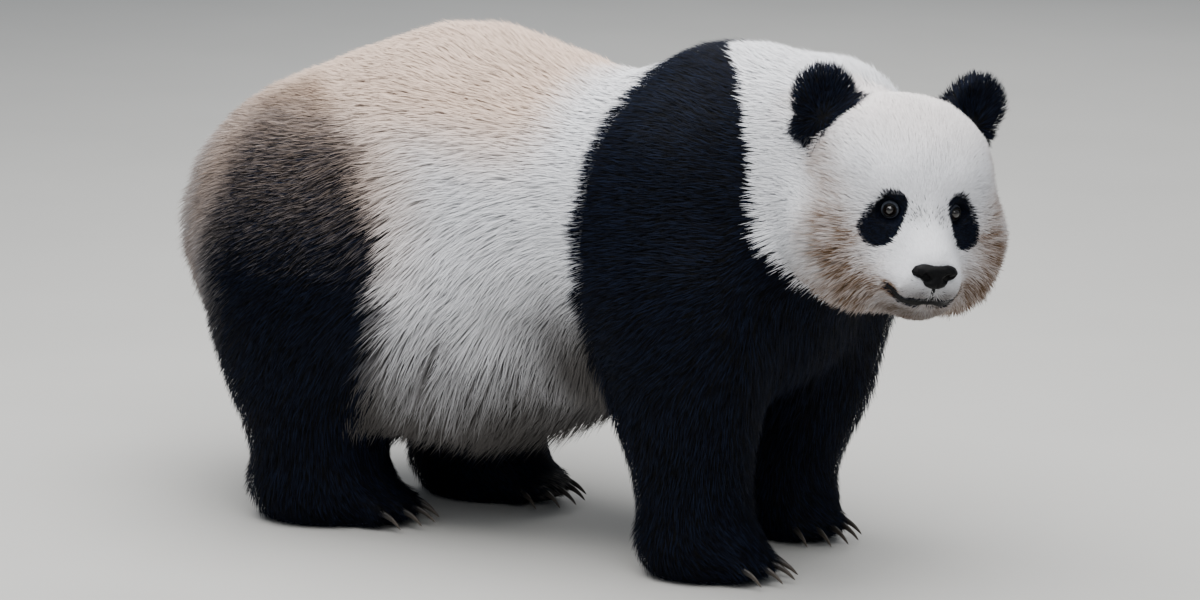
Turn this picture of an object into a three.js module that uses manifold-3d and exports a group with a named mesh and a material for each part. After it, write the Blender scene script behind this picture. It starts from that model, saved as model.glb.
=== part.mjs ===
// A life-size giant panda, standing on four feet with its head turned to its right.
//
// The animal is described as distance functions: each muscle mass is an ellipsoid or a tapered
// capsule, and neighbouring masses are blended as flesh and fur are. The blended body is turned
// into closed meshes on a grid, then parted with thin cuts into the pieces a person would name.
// All surfaces are the outline of the coat, out to the tips of the hair.
//
// Frame while modelling: millimetres, +X towards the chest, +Y to the animal's left, +Z up,
// floor at z = 0. At the end the model is shifted so that its origin is the bottom centre of
// its bounding box.

import * as THREE from "three";
import { mergeVertices } from "three/addons/utils/BufferGeometryUtils.js";
import Module from "manifold-3d";

const wasm = await Module();
wasm.setup();

// ------------------------------------------------------------------ driving dimensions, in mm

const GAP = 0.6; // width of the thin cuts between neighbouring pieces

// trunk
const WITHERS_Z = 762; // top of the coat over the shoulder blades
const LOIN_Z = 752; // top of the coat over the loins
const BELLY_Z = 138; // lowest point of the belly coat
const BARREL_HALF = 272; // half the width of the barrel
const CHEST_X = 195; // middle of the chest, along the body
const LOIN_X = -222; // middle of the barrel
const RUMP_X = -440; // middle of the haunches

// head; places on it are in its own frame: +X to the nose, +Y to the left ear, +Z to the crown
const HEAD_AT = [569, -92, 574]; // middle of the skull
const HEAD_YAW = -41; // degrees, turned to the right
const HEAD_PITCH = 3; // degrees, nose down
const HEAD_ROLL = -6; // degrees, left side down
const HEAD_CUT_X = -96; // where the head is parted from the neck
const EYE = { x: 77, y: 46, z: 11, r: 12, out: 25 }; // the ball, and how far it looks outwards
const EYE_HOLLOW = { x: 12, half: [9, 20, 15] }; // ahead of the ball's middle
const EAR = { x: -64, y: 114, z: 134, r: 52, thick: 23, out: 4, lean: 18 };
const NOSE = { x: 160, z: -60, half: 35 };
const MOUTH = { x: 94, z: -105, reach: 68, core: 46, high: 4 }; // closed: a slot between the lips

// neck
const NECK_CUT = { at: [375, 0, 600], facing: [0.8, -0.1, 0.58] }; // from the withers to the throat

// legs: where each foot stands and how far its toes turn in, the joint above it, and the wall
// (behind a foreleg, ahead of a hind leg) and ceiling that part it from the trunk
const FORE = { width: 92, pawHalf: 66, pawLength: 205 };
const HIND = { width: 112, pawHalf: 70, pawLength: 262 };
const LEGS = [
  { name: "fore", side: "right", at: [258, -138], top: [240, -150], turn: 9, wall: 98, ceiling: 372 },
  { name: "fore", side: "left", at: [222, 142], top: [288, 150], turn: 14, wall: 90, ceiling: 372 },
  { name: "hind", side: "right", at: [-405, -154], top: [-436, -162], turn: 10, wall: -258, ceiling: 330 },
  { name: "hind", side: "left", at: [-288, 102], top: [-395, 155], turn: 5, wall: -190, ceiling: 330 },
];
const INNER_WALL = 24; // from the midline to the inner wall of a leg
const WRIST_Z = 84; // where a paw is parted from its leg
const TOES = [-2, -1, 0, 1, 2];
const TOE = { back: 40, z: 4, half: [42, 16, 26] }; // an ellipsoid behind the toe's tip
const CLAW = {
  sides: 5,
  rings: [
    { x: -14, z: 4, high: 7.5, wide: 4.8 },
    { x: 12, z: -2, high: 5, wide: 3.4 },
  ],
  tip: [27, 0, -18],
};

// tail
const TAIL = { root: [-668, 0, 512], tip: [-692, 0, 372], rootRadius: 52, tipRadius: 38 };

// mesh spacing of each kind of piece
const CELL = { trunk: 64, neck: 48, head: 31, leg: 44, paw: 46, tail: 36 };

// ------------------------------------------------------------------ distance functions

const rad = THREE.MathUtils.degToRad;
const moved = (x, y, z) => new THREE.Matrix4().makeTranslation(x, y, z);
const turnedX = (degrees) => new THREE.Matrix4().makeRotationX(rad(degrees));
const turnedY = (degrees) => new THREE.Matrix4().makeRotationY(rad(degrees));
const turnedZ = (degrees) => new THREE.Matrix4().makeRotationZ(rad(degrees));

// An ellipsoid about `c` with half-axes `r`.
function ball(c, r) {
  return (x, y, z) => {
    const px = (x - c[0]) / r[0];
    const py = (y - c[1]) / r[1];
    const pz = (z - c[2]) / r[2];
    const k0 = Math.hypot(px, py, pz);
    const k1 = Math.hypot(px / r[0], py / r[1], pz / r[2]);
    return k1 < 1e-9 ? -Math.min(...r) : (k0 * (k0 - 1)) / k1;
  };
}

// A capsule from a to b whose radius goes from ra to rb.
function limb(a, b, ra, rb) {
  const d = [b[0] - a[0], b[1] - a[1], b[2] - a[2]];
  const length2 = d[0] ** 2 + d[1] ** 2 + d[2] ** 2;
  return (x, y, z) => {
    const p = [x - a[0], y - a[1], z - a[2]];
    const along = (p[0] * d[0] + p[1] * d[1] + p[2] * d[2]) / length2;
    const t = Math.min(1, Math.max(0, along));
    return Math.hypot(p[0] - t * d[0], p[1] - t * d[1], p[2] - t * d[2]) - (ra + t * (rb - ra));
  };
}

// Masses run together over a depth of `soft`.
function blend(soft, ...shapes) {
  return (x, y, z) => {
    let d = shapes[0](x, y, z);
    for (let i = 1; i < shapes.length; i++) {
      const e = shapes[i](x, y, z);
      const h = Math.max(0, soft - Math.abs(d - e)) / soft;
      d = Math.min(d, e) - (h * h * soft) / 4;
    }
    return d;
  };
}

// The same shape on both sides of the body.
const pair = (make) => blend(10, make(1), make(-1));

// A shape drawn in a frame of its own, placed in the body by a matrix.
function placed(matrix, shape) {
  const m = matrix.clone().invert().elements;
  return (x, y, z) =>
    shape(
      m[0] * x + m[4] * y + m[8] * z + m[12],
      m[1] * x + m[5] * y + m[9] * z + m[13],
      m[2] * x + m[6] * y + m[10] * z + m[14],
    );
}

// ------------------------------------------------------------------ the animal

const headFrame = moved(...HEAD_AT)
  .multiply(turnedZ(HEAD_YAW))
  .multiply(turnedY(HEAD_PITCH))
  .multiply(turnedX(HEAD_ROLL));

const barrelMiddle = (LOIN_Z + BELLY_Z) / 2;
const barrelHalfHeight = (LOIN_Z - BELLY_Z) / 2;

const torso = blend(
  90,
  ball([LOIN_X, 0, barrelMiddle], [312, BARREL_HALF, barrelHalfHeight]),
  ball([LOIN_X + 27, -8, BELLY_Z + 195], [300, BARREL_HALF - 14, 190]),
  ball([20, 0, 462], [235, BARREL_HALF - 30, 230]),
  ball([RUMP_X, 0, 428], [276, BARREL_HALF - 8, 236]),
  ball([CHEST_X, 0, 478], [205, 225, 245]),
  ball([CHEST_X + 60, 0, 592], [102, 112, WITHERS_Z - 620]),
  ball([CHEST_X + 115, 0, 430], [120, 150, 150]),
);

const shoulders = pair((s) =>
  blend(
    60,
    ball([CHEST_X + 15, s * 145, 490], [138, 98, 200]),
    ball([CHEST_X + 58, s * 170, 370], [135, 84, 120]),
  ),
);

const haunches = pair((s) => ball([RUMP_X + 28, s * 148, 385], [168, 120, 210]));

const neck = blend(
  40,
  limb([CHEST_X + 60, 0, 585], [386, -15, 620], 180, 144),
  limb([CHEST_X + 60, 0, 510], [470, -55, 545], 170, 120),
);

const tailShape = limb(TAIL.root, TAIL.tip, TAIL.rootRadius, TAIL.tipRadius);

// The head, in its own frame: +X to the nose, +Y to the left ear, +Z to the crown.
const headShape = blend(
  28,
  ball([-24, 0, 34], [122, 136, 122]),
  ball([28, 0, 42], [70, 86, 70]),
  pair((s) => ball([-6, s * 84, -46], [86, 78, 84])),
  pair((s) => ball([26, s * 62, -88], [78, 68, 60])),
  pair((s) => ball([36, s * 48, 10], [40, 38, 36])),
  limb([56, 0, -48], [124, 0, -68], 60, 43),
  limb([66, 0, 6], [144, 0, -50], 36, 24),
  pair((s) => ball([124, s * 25, -84], [36, 30, 25])),
  ball([92, 0, -108], [58, 50, 34]),
);

const inHead = (x, y, z) => headFrame.clone().multiply(moved(x, y, z));

// The side of the body a leg is on: +1 on the left.
const sideOf = (leg) => (leg.side === "left" ? 1 : -1);

// A paw's own frame: +X to its toes, which turn in, and +Z up, on the floor under the leg.
const pawFrame = (leg) => moved(leg.at[0], leg.at[1], 0).multiply(turnedZ(-sideOf(leg) * leg.turn));

const kindOf = (leg) => (leg.name === "fore" ? FORE : HIND);

// Where toe `i` ends, in the paw's frame: the five toes stand side by side on an arc.
function toeTip(kind, i) {
  return [kind.pawLength * 0.62 - 7 * i * i, (i / 2) * (kind.pawHalf - 15), 26];
}

function pawShape(kind) {
  const length = kind.pawLength;
  return blend(
    20,
    ball([length * 0.12, 0, 40], [length * 0.4, kind.pawHalf, 52]),
    ball([-length * 0.16, 0, 50], [length * 0.26, kind.width * 0.62, 58]),
  );
}

function legShape(leg) {
  const kind = kindOf(leg);
  const [x, y] = leg.at;
  const [tx, ty] = leg.top;
  const wide = kind.width;
  const knee = [(x + tx * 2) / 3, (y + ty * 2) / 3, 255];
  if (leg.name === "fore")
    return blend(
      40,
      limb([tx, ty, 420], knee, wide * 1.32, wide * 1.1),
      limb(knee, [x, y, 70], wide * 1.1, wide * 0.88),
    );
  return blend(
    40,
    limb([tx, ty, 400], knee, wide * 1.28, wide * 1.08),
    limb(knee, [x, y, 80], wide * 1.08, wide * 0.9),
  );
}

const legs = LEGS.map((leg) => blend(34, legShape(leg), placed(pawFrame(leg), pawShape(kindOf(leg)))));

const headless = blend(55, torso, shoulders, haunches, neck, ...legs);
const wholeBody = blend(26, headless, placed(headFrame, headShape));

// ------------------------------------------------------------------ from distances to solids

// The axes after axis `a`, in turn, and the corners and edges of a grid cell. A corner is three
// bits, one for each axis; edge 4 * a + u + 2 * v runs along axis a from the corner whose bits
// on the next two axes are u and v.
const nextAxes = (a) => [(a + 1) % 3, (a + 2) % 3];
const edgeStart = (e) => {
  const [u, v] = nextAxes(e >> 2);
  return ((e & 1) << u) | (((e >> 1) & 1) << v);
};
const edgeAt = (corner, a) => {
  const [u, v] = nextAxes(a);
  return 4 * a + ((corner >> u) & 1) + 2 * ((corner >> v) & 1);
};

// The sheets of surface in a cell whose corners are inside or not: for each of its 12 edges, the
// number of the sheet that crosses it, or -1. Where a face is crossed twice, the inside corners
// are kept apart, so that the mesh stays closed and simple.
function sheetsOf(inside) {
  const link = Array.from({ length: 12 }, (_, e) => e);
  const root = (e) => (link[e] === e ? e : root(link[e]));
  const crossed = (e) => inside[edgeStart(e)] !== inside[edgeStart(e) | (1 << (e >> 2))];
  for (let a = 0; a < 3; a++)
    for (const side of [0, 1 << a]) {
      const [u, v] = nextAxes(a);
      const face = [0, 1 << u, (1 << u) | (1 << v), 1 << v].map((c) => c | side);
      const rim = face.map((c, n) => edgeAt(c & face[(n + 1) % 4], n % 2 ? v : u));
      const hits = rim.filter(crossed);
      if (hits.length === 2) link[root(hits[0])] = root(hits[1]);
      if (hits.length === 4)
        face.forEach((c, n) => {
          if (inside[c]) link[root(rim[n])] = root(rim[(n + 3) % 4]);
        });
    }
  return link.map((_, e) => (crossed(e) ? root(e) : -1));
}

// A closed mesh of where `shape` is zero inside a box, on a grid of `cell` mm. Each sheet of the
// surface in a grid cell gets one vertex, and each crossed grid edge one quad. The vertices are
// then evened out along the surface and put back on it.
function netSolid(shape, low, high, cell) {
  const count = low.map((v, a) => Math.ceil((high[a] - v) / cell) + 1);
  const index = (n) => (n[2] * count[1] + n[1]) * count[0] + n[0];
  const corner = (n, bits) => n.map((v, a) => v + ((bits >> a) & 1));
  const value = new Float32Array(count[0] * count[1] * count[2]);
  const everyCell = (from, visit) => {
    for (let k = from; k < count[2] - 1; k++)
      for (let j = from; j < count[1] - 1; j++) for (let i = from; i < count[0] - 1; i++) visit([i, j, k]);
  };
  for (let k = 0; k < count[2]; k++)
    for (let j = 0; j < count[1]; j++)
      for (let i = 0; i < count[0]; i++) {
        const edge = [i, j, k].some((n, a) => n === 0 || n === count[a] - 1);
        const d = shape(low[0] + i * cell, low[1] + j * cell, low[2] + k * cell);
        value[index([i, j, k])] = edge ? Math.max(d, 0.5) : d;
      }

  const points = [];
  const vertices = new Map();
  everyCell(0, (n) => {
    const field = Array.from({ length: 8 }, (_, bits) => value[index(corner(n, bits))]);
    const sheets = sheetsOf(field.map((d) => d < 0));
    const found = new Map();
    sheets.forEach((sheet, e) => {
      if (sheet < 0) return;
      const [p, q] = [edgeStart(e), edgeStart(e) | (1 << (e >> 2))];
      const t = field[p] / (field[p] - field[q]);
      const sum = found.get(sheet) ?? found.set(sheet, [0, 0, 0, 0]).get(sheet);
      corner(n, p).forEach((v, a) => (sum[a] += low[a] + cell * (v + (a === e >> 2 ? t : 0))));
      sum[3]++;
    });
    const first = points.length;
    const order = [...found.keys()];
    for (const sum of found.values()) points.push(sum.slice(0, 3).map((v) => v / sum[3]));
    if (order.length) vertices.set(index(n), sheets.map((sheet) => first + order.indexOf(sheet)));
  });

  const quads = [];
  everyCell(0, (n) => {
    for (let a = 0; a < 3; a++) {
      const here = value[index(n)] < 0;
      if (here === value[index(corner(n, 1 << a))] < 0) continue;
      const [u, v] = nextAxes(a);
      const ring = [0, 1 << u, (1 << u) | (1 << v), 1 << v];
      const quad = ring.map((bits) => {
        const around = n.map((m, axis) => m - ((bits >> axis) & 1));
        return vertices.get(index(around))[edgeAt(bits, a)];
      });
      quads.push(here ? quad : quad.reverse());
    }
  });

  settle(points, quads, shape, low, high, cell);
  const triVerts = quads.flatMap(([p, q, r, s]) => {
    const shorter = distance(points[p], points[r]) < distance(points[q], points[s]);
    return shorter ? [p, q, r, p, r, s] : [p, q, s, q, r, s];
  });
  return new wasm.Manifold(
    new wasm.Mesh({
      numProp: 3,
      vertProperties: Float32Array.from(points.flat()),
      triVerts: Uint32Array.from(triVerts),
    }),
  );
}

const distance = (a, b) => Math.hypot(a[0] - b[0], a[1] - b[1], a[2] - b[2]);

// Moves the vertices towards the middle of their neighbours and back onto the surface. Those at
// the border of the grid's box, which only close the mesh for a later cut, stay where they are.
function settle(points, quads, shape, low, high, cell) {
  const PASSES = 4;
  const inner = points.map((p) => p.every((v, a) => v > low[a] + cell && v < high[a] - 1.5 * cell));
  for (let pass = 0; pass < PASSES; pass++) {
    const sums = points.map(() => [0, 0, 0, 0]);
    for (const quad of quads)
      quad.forEach((v, n) => {
        const next = points[quad[(n + 1) % 4]];
        sums[v][0] += next[0];
        sums[v][1] += next[1];
        sums[v][2] += next[2];
        sums[v][3]++;
      });
    points.forEach((p, n) => {
      if (!inner[n]) return;
      for (let a = 0; a < 3; a++) p[a] += 0.5 * (sums[n][a] / sums[n][3] - p[a]);
      for (let times = 0; times < 2; times++) {
        const STEP = 1;
        const d = shape(...p);
        const slope = [0, 1, 2].map((a) => {
          const q = [...p];
          q[a] += STEP;
          return (shape(...q) - d) / STEP;
        });
        const steep = Math.max(0.2, slope[0] ** 2 + slope[1] ** 2 + slope[2] ** 2);
        const most = cell / 3;
        for (let a = 0; a < 3; a++) p[a] -= Math.max(-most, Math.min(most, (d * slope[a]) / steep));
      }
    });
  }
}

// A three.js geometry as a solid, moved by a matrix.
function solidOf(geometry, matrix = new THREE.Matrix4()) {
  const bare = new THREE.BufferGeometry();
  bare.setAttribute("position", geometry.getAttribute("position").clone());
  if (geometry.index) bare.setIndex(geometry.index.clone());
  const merged = mergeVertices(bare.applyMatrix4(matrix), 1e-3);
  return new wasm.Manifold(
    new wasm.Mesh({
      numProp: 3,
      vertProperties: merged.getAttribute("position").array,
      triVerts: Uint32Array.from(merged.index.array),
    }),
  );
}

// An ellipsoid in a frame, with half-axes `half` and `around` by `along` faces; its poles are on X.
function egg(frame, middle, half, around, along) {
  const shape = new THREE.SphereGeometry(1, around, along).rotateZ(Math.PI / 2);
  return solidOf(shape, frame.clone().multiply(moved(...middle)).scale(new THREE.Vector3(...half)));
}

// The half of space ahead of a point along a direction, as a box large enough for the animal.
const FAR = 3000;
function ahead(point, direction, shift = 0) {
  const n = new THREE.Vector3(...direction).normalize();
  const turn = new THREE.Quaternion().setFromUnitVectors(new THREE.Vector3(0, 0, 1), n);
  const middle = new THREE.Vector3(...point).addScaledVector(n, FAR / 2 + shift);
  const matrix = new THREE.Matrix4().makeRotationFromQuaternion(turn).setPosition(middle);
  return solidOf(new THREE.BoxGeometry(FAR, FAR, FAR), matrix);
}

// The one body of `solid` that matters: crumbs left by a cut are dropped.
const largest = (solid) => solid.decompose().sort((a, b) => b.volume() - a.volume())[0];

// ------------------------------------------------------------------ materials

const matter = (color, roughness) => new THREE.MeshStandardMaterial({ color, roughness, metalness: 0 });
const MATERIAL = {
  white: matter(0xe9e2d8, 0.95),
  black: matter(0x15151b, 0.95),
  nose: matter(0x111113, 0.35),
  eye: matter(0x1a110c, 0.08),
  claw: matter(0x5b5248, 0.45),
};

// ------------------------------------------------------------------ assembly

const panda = new THREE.Group();

function add(name, solid, material) {
  const mesh = solid.getMesh();
  const geometry = new THREE.BufferGeometry();
  const positions = new Float32Array(mesh.numVert * 3);
  for (let v = 0; v < mesh.numVert; v++)
    positions.set(mesh.vertProperties.subarray(v * mesh.numProp, v * mesh.numProp + 3), v * 3);
  geometry.setAttribute("position", new THREE.BufferAttribute(positions, 3));
  geometry.setIndex(new THREE.BufferAttribute(mesh.triVerts, 1));
  geometry.computeVertexNormals();
  const piece = new THREE.Mesh(geometry, material);
  piece.name = name;
  panda.add(piece);
}

const aboveFloor = ahead([0, 0, 0], [0, 0, 1]);
const headAxis = new THREE.Vector3(1, 0, 0).transformDirection(headFrame).toArray();
const headCut = new THREE.Vector3(HEAD_CUT_X, 0, 0).applyMatrix4(headFrame).toArray();

// A small piece that grows out of a larger one: only what stands out of it, moved off by GAP.
function rising(piece, base, direction) {
  const off = new THREE.Vector3(...direction).setLength(GAP);
  return largest(piece.subtract(base)).translate(off.toArray());
}

// Trunk. A leg is what lies under its ceiling, on its own side of the midline and past its wall.
function legRoom(leg, grow) {
  const side = sideOf(leg);
  const onward = leg.name === "fore" ? 1 : -1;
  const size = [FAR + grow, FAR + grow, leg.ceiling + grow];
  const x = leg.wall + onward * (FAR / 2 - grow / 2);
  const y = side * (INNER_WALL + FAR / 2 - grow / 2);
  return solidOf(new THREE.BoxGeometry(...size), moved(x, y, size[2] / 2));
}

let trunk = netSolid(wholeBody, [-800, -400, 40], [560, 400, 860], CELL.trunk)
  .intersect(ahead([0, 0, WRIST_Z + 20], [0, 0, 1]))
  .subtract(ahead(NECK_CUT.at, NECK_CUT.facing, -GAP / 2));
for (const leg of LEGS) trunk = trunk.subtract(legRoom(leg, GAP));
trunk = largest(trunk);
add("trunk", trunk, MATERIAL.white);

const tail = netSolid(tailShape, [-780, -80, 280], [-600, 80, 620], CELL.tail);
add("tail", rising(tail, trunk, [-1, 0, 0]), MATERIAL.white);

const neckPiece = netSolid(wholeBody, [160, -330, 250], [720, 330, 860], CELL.neck)
  .intersect(ahead(NECK_CUT.at, NECK_CUT.facing, GAP / 2))
  .subtract(ahead(headCut, headAxis, -GAP / 2));
add("neck", largest(neckPiece), MATERIAL.white);

// Legs, with toes and claws.

// The frame of a toe: at its tip, with +X along the toe.
const toeFrame = (leg, i) =>
  pawFrame(leg)
    .multiply(moved(...toeTip(kindOf(leg), i)))
    .multiply(turnedZ(i * 7));

const toe = (leg, i) => egg(toeFrame(leg, i), [-TOE.back, 0, TOE.z], TOE.half, 7, 4);

// A claw: rings about a centre line that curves down to a point, from inside the toe.
function claw(leg, i) {
  const points = [];
  for (const ring of CLAW.rings)
    for (let k = 0; k < CLAW.sides; k++) {
      const angle = (k / CLAW.sides) * 2 * Math.PI;
      points.push(ring.x, ring.wide * Math.cos(angle), ring.z + ring.high * Math.sin(angle));
    }
  points.push(...CLAW.tip);
  const last = CLAW.rings.length - 1;
  const tip = CLAW.rings.length * CLAW.sides;
  const faces = [];
  CLAW.rings.forEach((_, r) => {
    for (let k = 0; k < CLAW.sides; k++) {
      const a = r * CLAW.sides + k;
      const b = r * CLAW.sides + ((k + 1) % CLAW.sides);
      if (r === last) faces.push(a, b, tip);
      else faces.push(a, b, b + CLAW.sides, a, b + CLAW.sides, a + CLAW.sides);
    }
  });
  for (let k = 1; k < CLAW.sides - 1; k++) faces.push(0, k + 1, k);
  const shape = new THREE.BufferGeometry();
  shape.setAttribute("position", new THREE.Float32BufferAttribute(points, 3));
  shape.setIndex(faces);
  return solidOf(shape, toeFrame(leg, i));
}

// A box about a leg, between two heights.
function boxAbout([x, y], low, high) {
  const REACH = 290;
  return [
    [x - REACH, y - REACH, low],
    [x + REACH, y + REACH, high],
  ];
}

LEGS.forEach((leg, n) => {
  const wrist = [...leg.at, WRIST_Z];
  const upper = netSolid(wholeBody, ...boxAbout(leg.at, 20, 470), CELL.leg)
    .intersect(legRoom(leg, 0))
    .intersect(ahead(wrist, [0, 0, 1], GAP / 2));
  add(leg.name + "leg_" + leg.side, largest(upper), MATERIAL.black);

  const pad = netSolid(legs[n], ...boxAbout(leg.at, -70, 160), CELL.paw);
  const lower = wasm.Manifold.union([pad, ...TOES.map((i) => toe(leg, i))])
    .intersect(aboveFloor)
    .subtract(ahead(wrist, [0, 0, 1], -GAP / 2));
  const paw = largest(lower);
  add(leg.name + "paw_" + leg.side, paw, MATERIAL.black);
  for (const i of TOES) {
    const out = new THREE.Vector3(1, 0, 0).transformDirection(toeFrame(leg, i));
    const name = leg.name + "claw_" + leg.side + "_" + (i + 3);
    add(name, rising(claw(leg, i), paw, out.toArray()), MATERIAL.claw);
  }
});

// Head, with hollows for the eyes and a slot for the closed mouth.
let head = netSolid(wholeBody, [340, -380, 330], [800, 200, 800], CELL.head)
  .intersect(ahead(headCut, headAxis, GAP / 2))
  .intersect(ahead(NECK_CUT.at, NECK_CUT.facing, GAP / 2));

const sides = [
  { s: 1, label: "_left" },
  { s: -1, label: "_right" },
];
for (const { s, label } of sides) {
  const frame = inHead(EYE.x, s * EYE.y, EYE.z).multiply(turnedZ(s * EYE.out));
  head = head.subtract(egg(frame, [EYE_HOLLOW.x, 0, 0], EYE_HOLLOW.half, 10, 6));
  head = head.subtract(egg(frame, [0, 0, 0], Array(3).fill(EYE.r + GAP), 10, 7));
  add("eye" + label, egg(frame, [0, 0, 0], Array(3).fill(EYE.r), 10, 7), MATERIAL.eye);
}

const lips = inHead(MOUTH.x, 0, MOUTH.z).multiply(turnedX(90));
const slot = solidOf(new THREE.CylinderGeometry(MOUTH.reach, MOUTH.reach, MOUTH.high, 20), lips);
const inner = solidOf(new THREE.CylinderGeometry(MOUTH.core, MOUTH.core, MOUTH.high * 4, 16), lips);
head = largest(head.subtract(slot.subtract(inner)));
add("head", head, MATERIAL.white);

// An ear: a round cup that faces forwards and widens down into the skull.
for (const { s, label } of sides) {
  const frame = inHead(EAR.x, s * EAR.y, EAR.z)
    .multiply(turnedZ(s * EAR.out))
    .multiply(turnedX(-s * EAR.lean));
  const cup = egg(frame, [0, 0, 0], [EAR.thick, EAR.r, EAR.r], 12, 6)
    .add(egg(frame, [-2, 0, -34], [EAR.thick + 1, EAR.r, 44], 10, 5))
    .intersect(ahead(headCut, headAxis, GAP))
    .subtract(egg(frame, [EAR.thick, 0, 6], [16, 31, 31], 10, 5));
  const up = new THREE.Vector3(0, s * 0.5, 1).transformDirection(headFrame);
  add("ear" + label, rising(cup, head, up.toArray()), MATERIAL.black);
}

// The nose pad: a rounded triangle with two nostrils.
const noseFrame = inHead(NOSE.x, 0, NOSE.z);
let nosePad = egg(noseFrame, [0, 0, 3], [15, NOSE.half, 15], 12, 6)
  .add(egg(noseFrame, [3, 0, -10], [14, 20, 18], 10, 5))
  .add(egg(noseFrame, [-5, 0, 10], [14, NOSE.half - 9, 9], 10, 5));
for (const { s } of sides) nosePad = nosePad.subtract(egg(noseFrame, [14, s * 17, 1], [7, 6, 4], 6, 4));
add("nose", rising(nosePad, head, headAxis), MATERIAL.nose);

// The model's origin is the bottom centre of its bounding box.
const extent = new THREE.Box3().setFromObject(panda);
const middle = extent.getCenter(new THREE.Vector3());
panda.position.set(-middle.x, -middle.y, -extent.min.z);

export default panda;
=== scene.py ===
"""A life-size giant panda: its skin, coat, eyes, nose and claws, on a pale studio floor.

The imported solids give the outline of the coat, out to the tips of the hair. The skin is made from
those of flesh: joined, evened out and drawn inwards by the depth of the coat, then given lids,
lips and folds. The coat is built of thin closed tufts of hair that grow from the skin, lie along
the body and end at the outline.

Lengths in the tables are millimetres, and everything handed to Blender is metres.
"""

from math import cos, pi, radians, sin

import bmesh
import bpy
import numpy as np
from bpy.props import FloatProperty, FloatVectorProperty, IntProperty, PointerProperty
from bpy.types import Operator, Panel, PropertyGroup
from mathutils import Matrix, Vector


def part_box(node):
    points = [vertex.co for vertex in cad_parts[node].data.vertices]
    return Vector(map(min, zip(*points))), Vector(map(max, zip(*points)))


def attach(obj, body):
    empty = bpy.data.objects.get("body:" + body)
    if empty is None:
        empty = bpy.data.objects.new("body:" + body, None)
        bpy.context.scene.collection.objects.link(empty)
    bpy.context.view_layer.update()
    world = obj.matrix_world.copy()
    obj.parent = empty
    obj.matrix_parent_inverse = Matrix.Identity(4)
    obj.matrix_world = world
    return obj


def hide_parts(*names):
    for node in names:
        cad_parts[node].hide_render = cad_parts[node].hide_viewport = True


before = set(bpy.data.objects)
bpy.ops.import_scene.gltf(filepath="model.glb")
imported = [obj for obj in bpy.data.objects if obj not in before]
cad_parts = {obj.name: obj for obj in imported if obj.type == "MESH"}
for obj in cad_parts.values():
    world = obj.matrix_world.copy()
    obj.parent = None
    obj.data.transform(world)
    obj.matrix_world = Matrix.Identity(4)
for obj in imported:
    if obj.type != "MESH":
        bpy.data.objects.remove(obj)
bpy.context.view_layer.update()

bl_info = {
    "name": "Giant Panda",
    "version": (1, 0, 0),
    "blender": (4, 5, 0),
    "location": "3D View > Sidebar > Panda",
    "description": "Skin, coat of tufts, eyes, nose and claws for a standing giant panda",
    "category": "Object",
}

MM = 0.001
LEGS = ("foreleg_left", "foreleg_right", "hindleg_left", "hindleg_right")
PAWS = ("forepaw_left", "forepaw_right", "hindpaw_left", "hindpaw_right")
EARS = ("ear_left", "ear_right")
FLESH = ("trunk", "tail", "neck", "head", *LEGS, *PAWS, *EARS)
EYES = ("eye_left", "eye_right")
CLAWS = tuple(sorted(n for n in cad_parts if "claw" in n))

# ------------------------------------------------------------------ small helpers


def middle(node):
    """The middle of a CAD node's box, in mm."""
    low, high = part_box(node)
    return np.array((low + high) / 2) / MM


def unit(v):
    """Vectors made one long, along their last axis."""
    return v / np.maximum(np.linalg.norm(v, axis=-1, keepdims=True), 1e-9)


def smooth(x, low, high):
    """0 on the low side, 1 on the high side and a smooth step between them. Low may be the larger."""
    t = np.clip((np.asarray(x, float) - low) / (high - low), 0, 1)
    return t * t * (3 - 2 * t)


def scramble(cells, seed):
    """A number from 0 to 1 for each whole-number cell, the same on each run."""
    i, j, k = (cells[..., a].astype(np.int64) for a in range(3))
    h = (i * 73856093) ^ (j * 19349663) ^ (k * 83492791) ^ (seed * 2971215073)
    h = ((h ^ (h >> 13)) * 1274126177) & 0xFFFFFFFF
    h = ((h ^ (h >> 16)) * 2246822519) & 0xFFFFFFFF
    return ((h >> 8) & 0xFFFF) / 65535


def wander(p, size, seed):
    """Smooth noise from -1 to 1 over places p, with features about size across."""
    q = p / size
    base = np.floor(q)
    t = q - base
    t = t * t * (3 - 2 * t)
    total = 0
    for corner in range(8):
        step = np.array([corner & 1, corner >> 1 & 1, corner >> 2 & 1])
        share = np.prod(np.where(step, t, 1 - t), axis=-1)
        total = total + share * scramble(base + step, seed)
    return total * 2 - 1


def lock_middles(p, size, seed):
    """For each place, the middle of the lock of hair it belongs to: the nearest of scattered points."""
    size = size[:, None]
    base = np.floor(p / size)
    best = np.full(len(p), np.inf)
    found = p.copy()
    for step in np.ndindex(3, 3, 3):
        cell = base + np.array(step) - 1
        spread = np.stack([scramble(cell, seed + a) for a in range(3)], -1)
        middle_here = (cell + spread) * size
        gap = ((middle_here - p) ** 2).sum(-1)
        nearer = gap < best
        best[nearer] = gap[nearer]
        found[nearer] = middle_here[nearer]
    return found


# ------------------------------------------------------------------ the head's own frame
# +X to the nose, +Y to the left ear, +Z to the crown, with its origin at the middle of the skull.

EYE_PLACE = np.array([77.0, 46.0, 11.0])
NOSE_DROP = radians(39.5)  # from the eyes' middle to the nose pad, below the head's +X
EYE_OUT = radians(25)  # the eyes look outwards by this


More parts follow.
